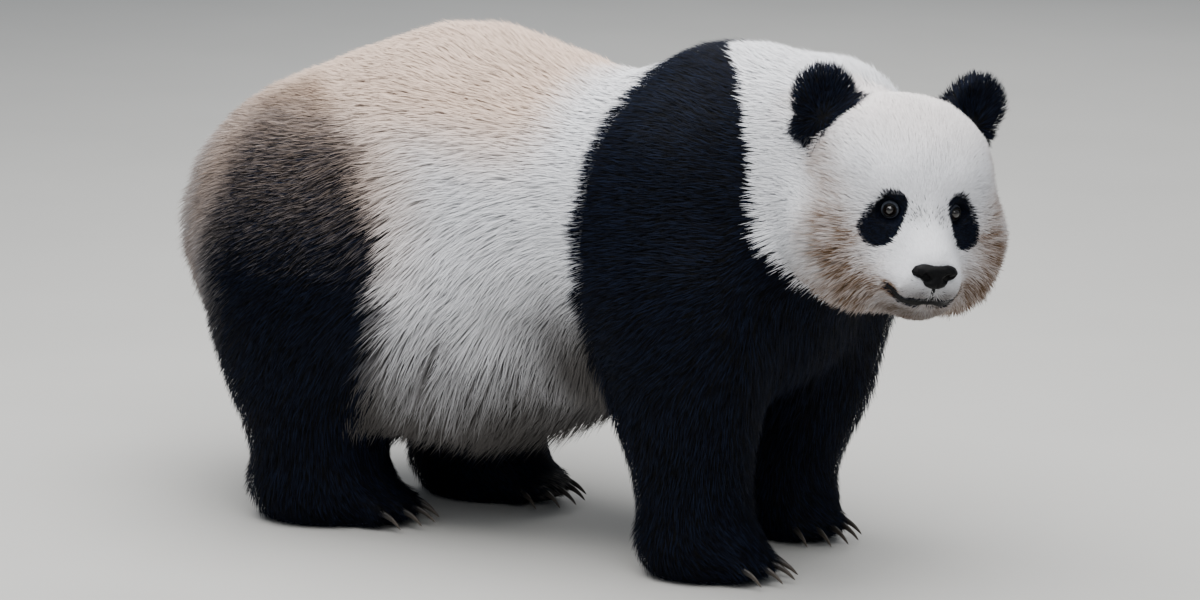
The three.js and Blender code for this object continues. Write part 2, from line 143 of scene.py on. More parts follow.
def head_frame():
    """The head's axes as rows, and the middle of the skull, from the eyes and the nose pad."""
    left, right, nose = middle("eye_left"), middle("eye_right"), middle("nose")
    across = unit(left - right)
    ahead = nose - (left + right) / 2
    ahead = unit(ahead - across * (ahead @ across))
    up = np.cross(ahead, across)
    x = ahead * cos(NOSE_DROP) + up * sin(NOSE_DROP)
    z = up * cos(NOSE_DROP) - ahead * sin(NOSE_DROP)
    axes = np.stack([x, across, z])
    origin = (left + right) / 2 - np.array([EYE_PLACE[0], 0, EYE_PLACE[2]]) @ axes
    return axes, origin


HEAD_AXES, HEAD_ORIGIN = head_frame()


def to_head(p):
    return (p - HEAD_ORIGIN) @ HEAD_AXES.T


def from_head(p):
    return np.asarray(p, float) @ HEAD_AXES + HEAD_ORIGIN


# ------------------------------------------------------------------ the lie of the coat
# Each zone has a place and how far its hair reaches out from there, the hair's length, how much
# of that length stands off the skin, its width, the way it flows, the size of its locks, how
# tightly they close at the tips, and the coat piece it belongs to. Places and flows are on the
# left side, and are mirrored. Body zones are in the model's frame, and head zones in the head's.

BODY_ZONES = {
    "withers": ((240, 0, 745), 120, 22, 0.4, 1.5, (-1, 0, -0.1), 11, 0.25, "shoulders"),
    "mid_back": ((-20, 0, 700), 170, 32, 0.34, 1.7, (-1, 0, -0.1), 13, 0.25, "back"),
    "loins": ((-260, 0, 740), 200, 32, 0.34, 1.7, (-1, 0, -0.05), 13, 0.25, "back"),
    "rump_top": ((-520, 0, 630), 150, 28, 0.42, 1.6, (-1, 0, -0.4), 11, 0.25, "rump"),
    "rump_rear": ((-690, 70, 430), 140, 42, 0.66, 1.7, (-0.7, 0.1, -0.8), 11, 0.4, "rump"),
    "seat": ((-640, 60, 250), 110, 44, 0.55, 1.8, (-0.3, 0, -1), 11, 0.4, "rump"),
    "haunch": ((-420, 290, 420), 170, 22, 0.68, 1.6, (-0.6, 0.1, -0.7), 6, 0.3, "rump"),
    "thigh": ((-420, 260, 250), 120, 26, 0.5, 1.7, (-0.3, 0, -1), 9, 0.3, "hind_legs"),
    "hind_shank": ((-400, 200, 120), 90, 28, 0.45, 1.7, (-0.1, 0, -1), 10, 0.35, "hind_legs"),
    "hind_foot": ((-320, 150, 40), 90, 20, 0.36, 1.7, (0.7, 0.1, -0.6), 8, 0.25, "hind_legs"),
    "hind_toes": ((-170, 115, 30), 120, 17, 0.34, 1.7, (0.8, 0.1, -0.5), 8, 0.25, "hind_legs"),
    "groin": ((-330, 30, 230), 110, 40, 0.42, 2.3, (-0.3, 0, -1), 12, 0.4, "hind_legs"),
    "upper_flank": ((-90, 240, 610), 150, 38, 0.34, 1.8, (-0.95, 0, -0.4), 14, 0.35, "flank"),
    "flank": ((-90, 290, 440), 150, 50, 0.38, 1.9, (-0.7, 0, -0.85), 16, 0.55, "flank"),
    "low_flank": ((-90, 250, 280), 120, 78, 0.42, 2.1, (-0.5, 0, -1), 18, 0.78, "flank"),
    "belly": ((-120, 0, 150), 200, 84, 0.4, 2.2, (-0.7, 0, -0.8), 18, 0.8, "belly"),
    "armpit": ((80, 200, 300), 90, 58, 0.42, 2.2, (-0.4, 0, -1), 14, 0.55, "belly"),
    "shoulder": ((230, 240, 560), 150, 22, 0.4, 1.5, (-1, 0, -0.15), 10, 0.25, "shoulders"),
    "upper_arm": ((230, 240, 400), 120, 24, 0.4, 1.6, (-0.8, 0, -0.6), 10, 0.25, "shoulders"),
    "foreleg": ((250, 190, 230), 110, 26, 0.4, 1.7, (-0.3, 0, -1), 10, 0.3, "forelegs"),
    "wrist": ((240, 150, 100), 80, 25, 0.45, 1.7, (-0.1, 0, -1), 10, 0.35, "forelegs"),
    "fore_foot": ((310, 150, 40), 80, 20, 0.36, 1.7, (0.8, 0, -0.5), 8, 0.25, "forelegs"),
    "chest": ((430, 0, 400), 120, 34, 0.42, 1.7, (-0.1, 0, -1), 12, 0.45, "shoulders"),
    "brisket": ((250, 0, 280), 110, 46, 0.42, 2.2, (-0.2, 0, -1), 12, 0.45, "forelegs"),
    "neck_side": ((350, 170, 620), 100, 24, 0.4, 1.4, (-1, 0, -0.15), 10, 0.25, "neck"),
    "nape": ((370, 0, 740), 100, 23, 0.4, 1.4, (-1, 0, 0.05), 10, 0.25, "neck"),
    "throat": ((450, 40, 470), 80, 32, 0.45, 1.6, (-0.5, 0, -1), 10, 0.4, "neck"),
    "tail": ((-710, 0, 440), 55, 46, 0.5, 2.1, (-0.3, 0, -1), 12, 0.5, "rump"),
}
HEAD_ZONES = {
    "nose_rim": ((140, 20, -45), 24, 6, 0.35, 1.0, (-0.9, 0.3, 0.5), 4, 0.1, "face"),
    "muzzle": ((112, 38, -66), 28, 7, 0.3, 1.1, (-1, 0.5, -0.05), 5, 0.15, "face"),
    "bridge": ((112, 8, -10), 28, 7, 0.3, 1.1, (-0.7, 0.25, 0.7), 5, 0.15, "face"),
    "lip": ((140, 28, -92), 22, 5, 0.32, 1.0, (-1, 0.35, 0.05), 4, 0.15, "face"),
    "chin": ((112, 0, -128), 26, 11, 0.36, 1.2, (-0.8, 0, -0.8), 6, 0.3, "face"),
    "eye": ((92, 50, 10), 22, 4.5, 0.3, 0.9, (-0.4, 0.9, 0.1), 4, 0.1, "face"),
    "patch": ((82, 76, -20), 24, 5.5, 0.32, 0.9, (-0.6, 0.8, -0.35), 5, 0.15, "face"),
    "brow": ((88, 40, 52), 30, 9, 0.34, 1.0, (-0.5, 0.35, 0.9), 6, 0.2, "face"),
    "forehead": ((70, 0, 92), 45, 16, 0.44, 1.15, (-0.8, 0, 0.8), 8, 0.25, "face"),
    "temple": ((50, 108, 40), 40, 16, 0.42, 1.2, (-0.9, 0.5, 0.25), 8, 0.3, "face"),
    "cheek": ((66, 115, -40), 40, 20, 0.46, 1.25, (-0.8, 0.7, -0.3), 9, 0.4, "face"),
    "jowl": ((70, 96, -95), 40, 28, 0.47, 1.4, (-0.6, 0.5, -0.9), 11, 0.5, "face"),
    "jaw": ((60, 40, -135), 40, 28, 0.47, 1.5, (-0.7, 0.1, -0.9), 11, 0.5, "neck"),
    "ear_foot": ((-28, 104, 106), 32, 11, 0.36, 1.3, (-0.8, 0.6, 0.1), 6, 0.2, "crown"),
    "crown": ((-10, 0, 152), 55, 18, 0.38, 1.25, (-1, 0, 0.1), 9, 0.3, "crown"),
    "head_side": ((-20, 134, 20), 55, 21, 0.42, 1.35, (-1, 0.2, -0.2), 10, 0.35, "crown"),
    "ruff": ((-20, 128, -80), 50, 30, 0.46, 1.5, (-0.8, 0.4, -0.7), 12, 0.5, "crown"),
}
EAR_MIDDLE = np.array([-64.0, 114.0, 134.0])
EAR_RADIUS = 52.0
EAR_ZONE = dict(length=19.0, rise=0.38, width=1.2, lock=4.0, pull=0.1)
LONG_COATED = ("back", "flank", "belly")
PIECES = ("face", "crown", "neck", "shoulders", "forelegs", "back", "flank", "belly", "rump", "hind_legs")


def ear_share(p_head):
    """1 on the ears and 0 off them, softly, for places in the head's frame."""
    q = p_head * [1, 0, 1] + np.abs(p_head) * [0, 1, 0]
    off = q - EAR_MIDDLE
    disc = 1 - smooth(np.hypot(off[:, 1], off[:, 2]), EAR_RADIUS + 4, EAR_RADIUS + 14)
    stem = 1 - smooth(np.hypot((off[:, 1] + 10) / 1.15, off[:, 2] + 32), 42, 50)
    thin = 1 - smooth(np.abs(off[:, 0]), 24, 31)
    skull = np.linalg.norm((p_head - [-24, 0, 34]) / [122, 136, 122], axis=1)
    return np.maximum(disc, stem) * thin * smooth(skull, 0.93, 0.99)


def zone_shares(p, zones, mirrored):
    """How much each zone counts at each place: more the nearer it is for its reach."""
    shares = []
    for place, reach, *_ in zones.values():
        gap = np.linalg.norm(mirrored - np.array(place), axis=1) / reach
        shares.append(1 / (0.02 + gap**4))
    return np.stack(shares, 1)


def lie_of_coat(p):
    """The coat's length, rise, width, flow, lock and pull at places p in mm, and its piece."""
    head = to_head(p)
    body_q = np.stack([p[:, 0], np.abs(p[:, 1]), p[:, 2]], 1)
    head_q = np.stack([head[:, 0], np.abs(head[:, 1]), head[:, 2]], 1)
    body = zone_shares(p, BODY_ZONES, body_q)
    # the long hair of the trunk ends above the feet
    long_haired = np.array([z[8] in LONG_COATED for z in BODY_ZONES.values()])
    body *= 1 - 0.98 * smooth(p[:, 2], 150, 110)[:, None] * long_haired
    # a head zone is far smaller than a body zone, so past the collar it is left out altogether
    on_head = smooth(head[:, 0] + 0.25 * head[:, 2], -135, -75)
    faced = zone_shares(p, HEAD_ZONES, head_q)
    weight = np.concatenate([body * (1 - on_head)[:, None] + 1e-9, faced * on_head[:, None]], 1)
    weight /= weight.sum(1, keepdims=True)
    zones = [*BODY_ZONES.values(), *HEAD_ZONES.values()]
    length, rise, width, lock, pull = (
        weight @ np.array([z[k] for z in zones], float) for k in (2, 3, 4, 6, 7)
    )
    side_body = np.tanh(p[:, 1] / 20)[:, None] * [0, 1, 0] + [1, 0, 1]
    side_head = np.tanh(head[:, 1] / 12)[:, None] * [0, 1, 0] + [1, 0, 1]
    n = len(BODY_ZONES)
    body_flow = (weight[:, :n] @ np.array([unit(np.array(z[5], float)) for z in zones[:n]])) * side_body
    head_flow = (weight[:, n:] @ np.array([unit(np.array(z[5], float)) for z in zones[n:]])) * side_head
    flow = body_flow + head_flow @ HEAD_AXES
    # on an ear the hair runs out from the foot of the ear to its rim
    ear = ear_share(head)
    foot = EAR_MIDDLE * np.stack([np.ones(len(p)), np.sign(head[:, 1]), np.ones(len(p))], 1) - [0, 0, 34]
    ear_flow = unit(head - foot) @ HEAD_AXES
    values = {}
    for name, v in (("length", length), ("rise", rise), ("width", width), ("lock", lock), ("pull", pull)):
        values[name] = v + (EAR_ZONE[name] - v) * ear
    values["flow"] = unit(flow * (1 - ear)[:, None] + ear_flow * ear[:, None])
    owners = np.array([PIECES.index(z[8]) for z in zones])
    piece = owners[np.argmax(weight, 1)]
    values["piece"] = np.where(ear > 0.5, PIECES.index("crown"), piece)
    values["ear"] = ear
    return values


def standing(coat, normal):
    """How much of its length hair stands off the skin: more where the skin faces the way it flows."""
    facing = np.clip((coat["flow"] * normal).sum(1), 0, 1)
    return np.maximum(coat["rise"], facing * (0.5 + 0.35 * coat["ear"]))


# ------------------------------------------------------------------ markings
# Skin and coat read the same markings: each is a number from 0 to 1 at a place.

# one mark is grey painted shade: under the belly, where some dirt is mixed in, behind the arm, between the
# low locks of the flank, and under the nose and chin
MARKS = ("dark", "tan", "peach", "grime", "pepper", "bare")
BAND_REAR_X = 132  # the black shoulder band's rear edge
# its front edge where the collar begins, up the side of the neck: heights, and its x at each
COLLAR_HEIGHTS = (455, 475, 500, 522, 575, 642, 707, 752)
COLLAR_EDGE = (900, 505, 482, 452, 395, 374, 342, 315)
# the front edge of the dark haunch on the flank, up the body: heights, and its x at each
HAUNCH_HEIGHTS = (150, 190, 250, 320, 400, 455, 525, 595, 650, 690)
HAUNCH_EDGE = (-318, -290, -238, -190, -182, -178, -202, -236, -345, -505)
# how dark the haunch is, up the body: heights, and its darkness at each
HAUNCH_FADE = (400, 445, 500, 565, 617, 655, 705)
HAUNCH_DARK = (1, 0.97, 0.89, 0.8, 0.58, 0.26, 0)
# the ends of an eye patch and its outer corner, in the head's y and z
PATCH_TOP, PATCH_LOW, PATCH_CORNER = (47, 20), (64, -16), (75, -13)
LID_RADIUS = 13.5
MOUTH_HALF = 53
# just inside the outline of the nose pad: heights in the head's frame, and the half width at each
PAD_HEIGHTS = (-77, -75, -72, -69, -64, -58, -52, -47, -44, -42)
PAD_HALF = (0, 5, 12, 16, 21, 27, 31, 28, 19, 0)
# stains on the left side of the head: place, reach each way and strength. Low on the face they are deep
# enough to hold painted shade as well as the tan stain.
STAINS_AND_SHADE = (
    ((62, 118, -50), (46, 46, 58), 0.88),
    ((95, 84, -92), (40, 40, 34), 0.85),
    ((60, 70, -122), (60, 50, 28), 0.8),
    ((40, 124, 16), (38, 30, 36), 0.5),
    ((-6, 126, 62), (40, 30, 38), 0.62),
    ((76, 101, -31), (24, 20, 12), 0.6),
    ((55, 128, -14), (16, 14, 12), 0.5),
    ((90, 96, -84), (24, 20, 14), 0.6),
    ((112, 66, -96), (20, 16, 14), 0.7),
)


def mouth_height(across):
    """The height of the line between the lips in the head's frame: it dips under each lip."""
    y = np.abs(across)
    return -96 - 3.5 * smooth(y, 2, 22) + 13 * smooth(y, 34, MOUTH_HALF)


def blob(p, place, reach):
    """1 at a place, fading to 0 at about twice the reach from it."""
    return np.exp(-((((p - np.array(place)) / np.array(reach)) ** 2).sum(1)))


def patch_depth(y, z):
    """How deep places lie inside the black patch round an eye, in mm: wider at its outer, lower end."""
    a, b = np.array(PATCH_TOP, float), np.array(PATCH_LOW, float)
    d = b - a
    t = np.clip(((y - a[0]) * d[0] + (z - a[1]) * d[1]) / (d @ d), 0, 1)
    bean = 20 + 4 * t - np.hypot(y - a[0] - t * d[0], z - a[1] - t * d[1])
    corner = 13 - np.hypot(y - PATCH_CORNER[0], z - PATCH_CORNER[1])
    return np.maximum(bean, corner)


def haunch_marks(p, ragged):
    """How far places belong to the dark haunch, and how dark its hair is there."""
    x, y, z = p.T
    edge = np.interp(z, HAUNCH_HEIGHTS, HAUNCH_EDGE) + 12 * wander(p, 60, 13)
    blend = 34 + 30 * smooth(z, 480, 620)
    haunch = smooth(edge - x + 2 * ragged, -blend, blend)
    haunch = haunch * np.maximum(smooth(np.abs(y), 40, 130), smooth(z, 520, 400))
    return haunch, haunch * np.interp(z, HAUNCH_FADE, HAUNCH_DARK)


def peach_marks(p, on_head):
    """The peach stain along the back, down behind the flank and on the crown."""
    x, _, z = p.T
    along_back = smooth(x, -620, -520) * smooth(x, 90, -20)
    peach = smooth(z + 25 * wander(p, 120, 16), 520, 670) * along_back
    peach = np.maximum(peach, 0.75 * smooth(z, 330, 560) * smooth(x, -60, -230) * along_back)
    return np.maximum(peach, 0.3 * on_head * smooth(to_head(p)[:, 2], 60, 140))


def body_shade_and_grime(p, on_head):
    """Painted shade, grey, with some dirt under the belly: darker under the belly, behind the arm and, low
    on the flank, between the hanging locks.
    """
    x, y, z = p.T
    # darker towards the bottom of the body: painted shade, with some dirt
    low = smooth(z + 22 * wander(p, 50, 17), 430, 205) * (1 - on_head)
    # painted shade behind the arm
    by_arm = smooth(x, -50, 105) * smooth(z, 480, 330)
    # painted shadow between the hanging locks, low on the flank
    streak = np.stack([x - 0.5 * z, y, 0.14 * z], 1)
    shade_between_locks = smooth(wander(streak, 10, 18) + 0.5 * wander(p, 40, 28), 0.0, 0.6)
    shade_between_locks = shade_between_locks * smooth(z, 490, 270) * (1 - on_head)
    return np.max([low, by_arm, 0.95 * shade_between_locks], 0)


def ear_spread(head):
    """The black foot of an ear, where it spreads over the skull."""
    away = head - EAR_MIDDLE
    spread = smooth(np.hypot(away[:, 1], away[:, 2]), EAR_RADIUS - 2, EAR_RADIUS - 9)
    return spread * smooth(away[:, 0], -30, -20) * smooth(away[:, 0], 42, 35)


def markings(p):
    """Every marking at places p in mm."""
    x, y, z = p.T
    head = to_head(p)
    hx, hy, hz = head.T
    hy = np.abs(hy)
    head = np.stack([hx, hy, hz], 1)
    ragged = 5 * wander(p, 22, 11) + 2.5 * wander(p, 7, 12)
    under_jaw = hz + 205 - 0.7 * hy + 1.2 * np.maximum(hx + 40, 0)
    on_head = smooth(hx + 0.25 * hz, -112, -88) * smooth(under_jaw, -12, 12)

    # the band over the shoulders, the haunches and the hind legs
    rear = BAND_REAR_X + 10 * smooth(z, 640, 740) - 6 * np.sin((z - 430) / 75)
    front = np.interp(z, COLLAR_HEIGHTS, COLLAR_EDGE) - 60 * smooth(np.abs(y), 120, 0)
    band = smooth(np.minimum(x - rear, (front - x) * 0.8) + ragged, -5, 5) * (1 - on_head)
    haunch, haunch_dark = haunch_marks(p, ragged)
    hind = smooth(z, 185, 155) * smooth(x + ragged, -110, -150)
    pepper = haunch * smooth(z + 20 * wander(p, 30, 27), 380, 560)
    border = 3 * haunch * (1 - haunch) * smooth(z, 250, 300)

    # the rear is pale and stained, and the tail is white
    fringe = smooth(x + 14 * wander(p, 40, 19), -455, -575) * smooth(z + 30 * wander(p, 50, 26), 210, 380)
    tail = smooth(np.abs(y) + 30 * wander(p, 30, 29), 100, 20)
    tail = tail * smooth(x, -590, -665) * smooth(z, 260, 360)
    dark = np.max([band, haunch_dark, hind], 0)
    dark = dark * (1 - smooth(np.abs(y), 75, 45) * smooth(x, -600, -650) * smooth(z, 230, 320))
    dark = dark * (1 - (0.68 + 0.24 * smooth(x, -570, -640)) * fringe)

    # short black hair edges the lips, and brown hair the corners of the mouth
    off_lips = np.abs(hz - mouth_height(hy))
    by_mouth = smooth(hx, 70, 85) * smooth(hy, MOUTH_HALF + 3, MOUTH_HALF - 1)
    thick = 6.6 - 3.0 * smooth(hy, 22, MOUTH_HALF)
    below = smooth(hz - mouth_height(hy), 1, -1)
    edging = smooth(off_lips - thick + 1.5 * wander(p, 5, 25) + 1.5 * below, 2.6, 0.6) * by_mouth
    corner = smooth(off_lips, 15, 5) * smooth(hx, 60, 90)
    corner = corner * smooth(hy, 32, 46) * smooth(hy, MOUTH_HALF + 14, MOUTH_HALF)

    patch = smooth(patch_depth(hy, hz) + 1.4 * wander(p, 6, 14), -1.2, 1.2) * smooth(hx, 45, 60)
    ears = smooth(ear_share(head), 0.4, 0.5)
    dark = np.max([dark, patch, ears, ear_spread(head), edging], 0)

    # the stains run into each other, streaked by the hair's own unevenness; low on the face, at the chin
    # and under the jaw their warm tone is partly painted shade
    clear = np.prod([1 - strength * blob(head, place, reach) for place, reach, strength in STAINS_AND_SHADE], 0)
    chin = 0.6 * smooth(hz, -98, -114) * smooth(hx, 60, 90)
    jaw = 0.7 * smooth(hz, -60, -120) * smooth(hx, -60, 20)
    warm = np.max([1 - clear, chin, jaw, 0.9 * corner], 0) * on_head
    warm = warm * (0.95 + 0.3 * wander(p * [1, 1, 1.6], 9, 24))
    tan = np.max([warm, fringe * (0.62 - 0.5 * tail), haunch * 0.42], 0) * (0.9 + 0.2 * wander(p, 26, 15))

    # grey hair between the eyes, painted shade under the nose and under the chin, and some black hairs
    # between the eyes and under the nose
    between = blob(head, (106, 14, 10), (20, 16, 14))
    under_nose = blob(head, (150, 12, -88), (30, 26, 13))
    under_chin = blob(head, (118, 0, -116), (46, 50, 20))
    face_grey_and_shade = np.max([0.92 * under_nose, 0.22 * between, 0.95 * under_chin], 0)
    speckle = (0.16 * between + 0.06 * under_nose) * smooth(hx, 80, 95)

    lips = smooth(off_lips, thick, thick - 1.8) * by_mouth
    philtrum = smooth(hy, 3.6, 2.2) * smooth(hx, 130, 138) * smooth(hz, -99, -96) * smooth(hz, -68, -72)
    lids = smooth(np.min(eye_places(p)[1], 0), LID_RADIUS + 0.8, LID_RADIUS - 0.8) * (on_head > 0.5)
    pad = smooth(np.interp(hz, PAD_HEIGHTS, PAD_HALF) - hy, 0.5, 2) * smooth(hx, 135, 142)
    return {
        "dark": dark,
        "tan": tan,
        "peach": peach_marks(p, on_head),
        "grime": np.maximum(body_shade_and_grime(p, on_head), face_grey_and_shade),
        "pepper": pepper,
        "bare": np.max([lips, philtrum, lids, smooth(z, 5, 2), pad], 0),
        "speckle": speckle,
        "mixed": np.maximum(fringe, border),
    }


def gaze_of(eye):
    """The direction in which an eye looks."""
    outward = 1 if eye == "eye_left" else -1
    return np.array([cos(EYE_OUT), outward * sin(EYE_OUT), 0]) @ HEAD_AXES


def ball_radius(eye):
    """The radius of an eyeball, in metres."""
    low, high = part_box(eye)
    return (high[2] - low[2]) / 2


def eye_places(p):
    """For each eye, how far places p lie out along its gaze and off to the side of it, in mm."""
    ahead, off = [], []
    for eye in EYES:
        gaze = gaze_of(eye)
        q = p - middle(eye)
        ahead.append(q @ gaze)
        off.append(np.linalg.norm(q - np.outer(q @ gaze, gaze), axis=1))
    return ahead, off


# ------------------------------------------------------------------ materials


def shade(hex_code):
    """A colour from its sRGB hex code, as linear values."""
    parts = np.array([int(hex_code[i : i + 2], 16) for i in (0, 2, 4)]) / 255
    linear = np.where(parts <= 0.04045, parts / 12.92, ((parts + 0.055) / 1.055) ** 2.4)
    return (*linear, 1.0)


def node(tree, kind, links=(), **settings):
    """Adds a node. `links` fills inputs by name or number, from a socket or with a value."""
    made = tree.nodes.new(kind)
    for name, value in settings.items():
        setattr(made, name, value)
    for key, value in dict(links).items():
        socket = made.inputs[key]
        if isinstance(value, bpy.types.NodeSocket):
            tree.links.new(value, socket)
        else:
            socket.default_value = value
    return made


def fresh(name):
    """A new material with a Principled shader, and its tree and shader."""
    material = bpy.data.materials.new(name)
    material.use_nodes = True
    tree = material.node_tree
    tree.nodes.clear()
    shader = node(tree, "ShaderNodeBsdfPrincipled")
    output = node(tree, "ShaderNodeOutputMaterial")
    tree.links.new(shader.outputs[0], output.inputs[0])
    return material, tree, shader


def read(tree, name):
    return node(tree, "ShaderNodeAttribute", attribute_name=name).outputs["Fac"]


def mixed(tree, share, a, b, way="MIX"):
    """The colour a with b over it, by a share."""
    made = node(tree, "ShaderNodeMix", data_type="RGBA", blend_type=way)
    for socket, value in ((made.inputs[0], share), (made.inputs[6], a), (made.inputs[7], b)):
        if isinstance(value, bpy.types.NodeSocket):
            tree.links.new(value, socket)
        else:
            socket.default_value = value
    return made.outputs[2]


def reckon(tree, operation, *values, clamp=False):
    """A Math node's result."""
    links = {i: v for i, v in enumerate(values)}
    return node(tree, "ShaderNodeMath", links, operation=operation, use_clamp=clamp).outputs[0]


def ranged(tree, value, low, high, to_low=0.0, to_high=1.0):
    """A value's range from low to high, turned to another and held inside it."""
    links = {0: value, 1: low, 2: high, 3: to_low, 4: to_high}
    return node(tree, "ShaderNodeMapRange", links, clamp=True).outputs[0]


def noise(tree, size_mm, detail=2.0):
    """Noise with features about size_mm across, on Object coordinates."""
    place = node(tree, "ShaderNodeTexCoord").outputs["Object"]
    links = {"Vector": place, "Scale": 1 / (size_mm * MM), "Detail": detail}
    return node(tree, "ShaderNodeTexNoise", links).outputs["Fac"]


def toned(tree, colour, level):
    """A colour made darker or lighter by a level."""
    grey = node(tree, "ShaderNodeCombineColor", {0: level, 1: level, 2: level}).outputs[0]
    return mixed(tree, 1.0, colour, grey, "MULTIPLY")


def radial(tree, a, b):
    """How far a and b lie from nought together: the root of the sum of their squares."""
    squares = [reckon(tree, "POWER", v, 2.0) for v in (a, b)]
    return reckon(tree, "SQRT", reckon(tree, "ADD", *squares))


def bump(tree, shader, height, strength, distance_mm):
    """Makes the surface uneven by a height from 0 to 1, as deep as the distance."""
    links = {"Height": height, "Strength": strength, "Distance": distance_mm * MM}
    tree.links.new(node(tree, "ShaderNodeBump", links).outputs[0], shader.inputs["Normal"])


def paint(tree, shader, **links):
    """Links a result to each named input of the shader, with _ for a space in the name."""
    for name, socket in links.items():
        tree.links.new(socket, shader.inputs[name.replace("_", " ")])


def marked_colour(tree, colours):
    """The colour of white hair with the animal's stains and a painted grey shade on it, from the attributes
    of skin and coat.
    """
    stained = reckon(tree, "MULTIPLY", read(tree, "peach"), 0.75)
    white = mixed(tree, stained, colours["white"], colours["peach"])
    tan = read(tree, "tan")
    warm = mixed(tree, ranged(tree, tan, 0.5, 1.05), colours["tan"], colours["brown"])
    white = mixed(tree, reckon(tree, "MULTIPLY", tan, 1.2, clamp=True), white, warm)
    # painted shade: the hair greys towards the shade colour under the belly, behind the arm, between the
    # low locks and under the nose and chin, with some dirt under the belly
    shaded = reckon(tree, "MULTIPLY", read(tree, "grime"), 0.92, clamp=True)
    return mixed(tree, shaded, white, colours["grime"])


def hair_material(colours):
    """Guard hair: keratin, matt white or black; painted shade darkens each tuft towards its root, and a
    painted bluish sheen lies on the tips and on some tufts of the black hair.
    """
    material, tree, shader = fresh("guard_hair")
    along, chance = read(tree, "along"), read(tree, "chance")
    # each tuft is a little lighter or darker than the next at random, and darker towards its root: painted
    # shade, deeper where the grey shade mark lies
    tone = ranged(tree, chance, 0.0, 1.0, 0.87, 1.04)
    painted_root_shade = reckon(tree, "MULTIPLY_ADD", read(tree, "grime"), -0.52, 0.87)
    depth = ranged(tree, along, 0.0, 0.85, painted_root_shade, 1.0)
    white = toned(tree, marked_colour(tree, colours), reckon(tree, "MULTIPLY", tone, depth))
    # black hair is darker at its roots, as painted shade, and bluish at its tips and on some tufts, as a
    # painted sheen of sky light
    black = mixed(tree, ranged(tree, along, 0.35, 1.0), colours["black"], colours["black_tip"])
    black = mixed(tree, ranged(tree, chance, 0.4, 1.0, 0.0, 0.5), black, colours["black_sheen"])
    # over the haunches the dark hairs have pale tips
    tipped = reckon(tree, "MULTIPLY", ranged(tree, along, 0.6, 1.0), read(tree, "pepper"))
    tipped = reckon(tree, "MULTIPLY", tipped, ranged(tree, chance, 0.3, 0.9, 0.05, 0.8))
    black = mixed(tree, tipped, black, colours["pepper"])
    paint(tree, shader, Base_Color=mixed(tree, read(tree, "dark"), white, black))
    shader.inputs["Roughness"].default_value = 0.6
    shader.inputs["IOR"].default_value = 1.45
    shader.inputs["Specular IOR Level"].default_value = 0.06
    return material


def skin_material(colours):
    """Skin under the coat, with the down that hides it; bare, dark and damp at lids and lips."""
    material, tree, shader = fresh("skin_and_down")
    down = ranged(tree, noise(tree, 4.0, 4.0), 0.3, 0.7, 0.8, 0.97)
    white = toned(tree, marked_colour(tree, colours), down)
    covered = mixed(tree, read(tree, "dark"), white, colours["black"])
    folds = ranged(tree, noise(tree, 1.6, 3.0), 0.35, 0.65)
    leather = mixed(tree, folds, colours["lid"], colours["lid_deep"])
    bare = read(tree, "bare")
    naked = mixed(tree, read(tree, "rim"), colours["nose"], leather)
    roughness = ranged(tree, bare, 0.0, 1.0, 0.85, 0.42)
    paint(tree, shader, Base_Color=mixed(tree, bare, covered, naked), Roughness=roughness)
    shader.inputs["Specular IOR Level"].default_value = 0.2
    bump(tree, shader, noise(tree, 1.8, 5.0), 0.5, 1.2)
    return material


def nose_material(colours):
    """The nose pad: bare leathery skin, pebbled in grains about 2 mm across, and damp."""
    material, tree, shader = fresh("damp_nose_leather")
    place = node(tree, "ShaderNodeTexCoord").outputs["Object"]
    links = {"Vector": place, "Scale": 1 / (2.2 * MM)}
    grain = node(tree, "ShaderNodeTexVoronoi", links, feature="DISTANCE_TO_EDGE").outputs["Distance"]
    pebble = ranged(tree, grain, 0.0, 0.25)
    # painted shade: the grooves between the grains, which the bump sets low, are darker than the grains
    colour = mixed(tree, pebble, colours["nose"], colours["nose_top"])
    # painted shade: the nostrils, their slits and the cleft are darkened to the pupil's near-black
    colour = mixed(tree, read(tree, "hollow"), colour, colours["pupil"])
    roughness = ranged(tree, noise(tree, 9.0), 0.3, 0.7, 0.36, 0.52)
    paint(tree, shader, Base_Color=colour, Roughness=roughness)
    shader.inputs["Specular IOR Level"].default_value = 0.1
    bump(tree, shader, pebble, 0.55, 0.5)
    return material


def eye_material(colours):
    """The eyeball: a dark brown iris round an upright pupil, under a wet cornea."""
    material, tree, shader = fresh("wet_eye")
    side, up = read(tree, "iris_side"), read(tree, "iris_up")
    radius = radial(tree, side, up)
    angle = reckon(tree, "ARCTAN2", up, side)
    # the fibres run outwards: the noise changes faster round the iris than along its radius
    turn, reach = reckon(tree, "MULTIPLY", angle, 5.0), reckon(tree, "MULTIPLY", radius, 0.6)
    spoke = node(tree, "ShaderNodeCombineXYZ", {0: turn, 1: reach}).outputs[0]
    links = {"Vector": spoke, "Scale": 2.4, "Detail": 4.0}
    fibres = node(tree, "ShaderNodeTexNoise", links).outputs["Fac"]
    iris = mixed(tree, ranged(tree, fibres, 0.35, 0.7), colours["iris_deep"], colours["iris"])
    # the pupil is 1.7 times as tall as it is wide
    pupil = radial(tree, reckon(tree, "MULTIPLY", side, 1.7), up)
    iris = mixed(tree, ranged(tree, pupil, 3.6, 4.2, 1.0, 0.0), iris, colours["pupil"])
    white = mixed(tree, ranged(tree, radius, 7.4, 8.2), iris, colours["eye_white"])
    paint(tree, shader, Base_Color=mixed(tree, ranged(tree, radius, 6.6, 7.6, 0.0, 0.8), iris, white))
    shader.inputs["Roughness"].default_value = 0.08
    shader.inputs["IOR"].default_value = 1.38
    shader.inputs["Coat Weight"].default_value = 1.0
    shader.inputs["Coat Roughness"].default_value = 0.03
    return material


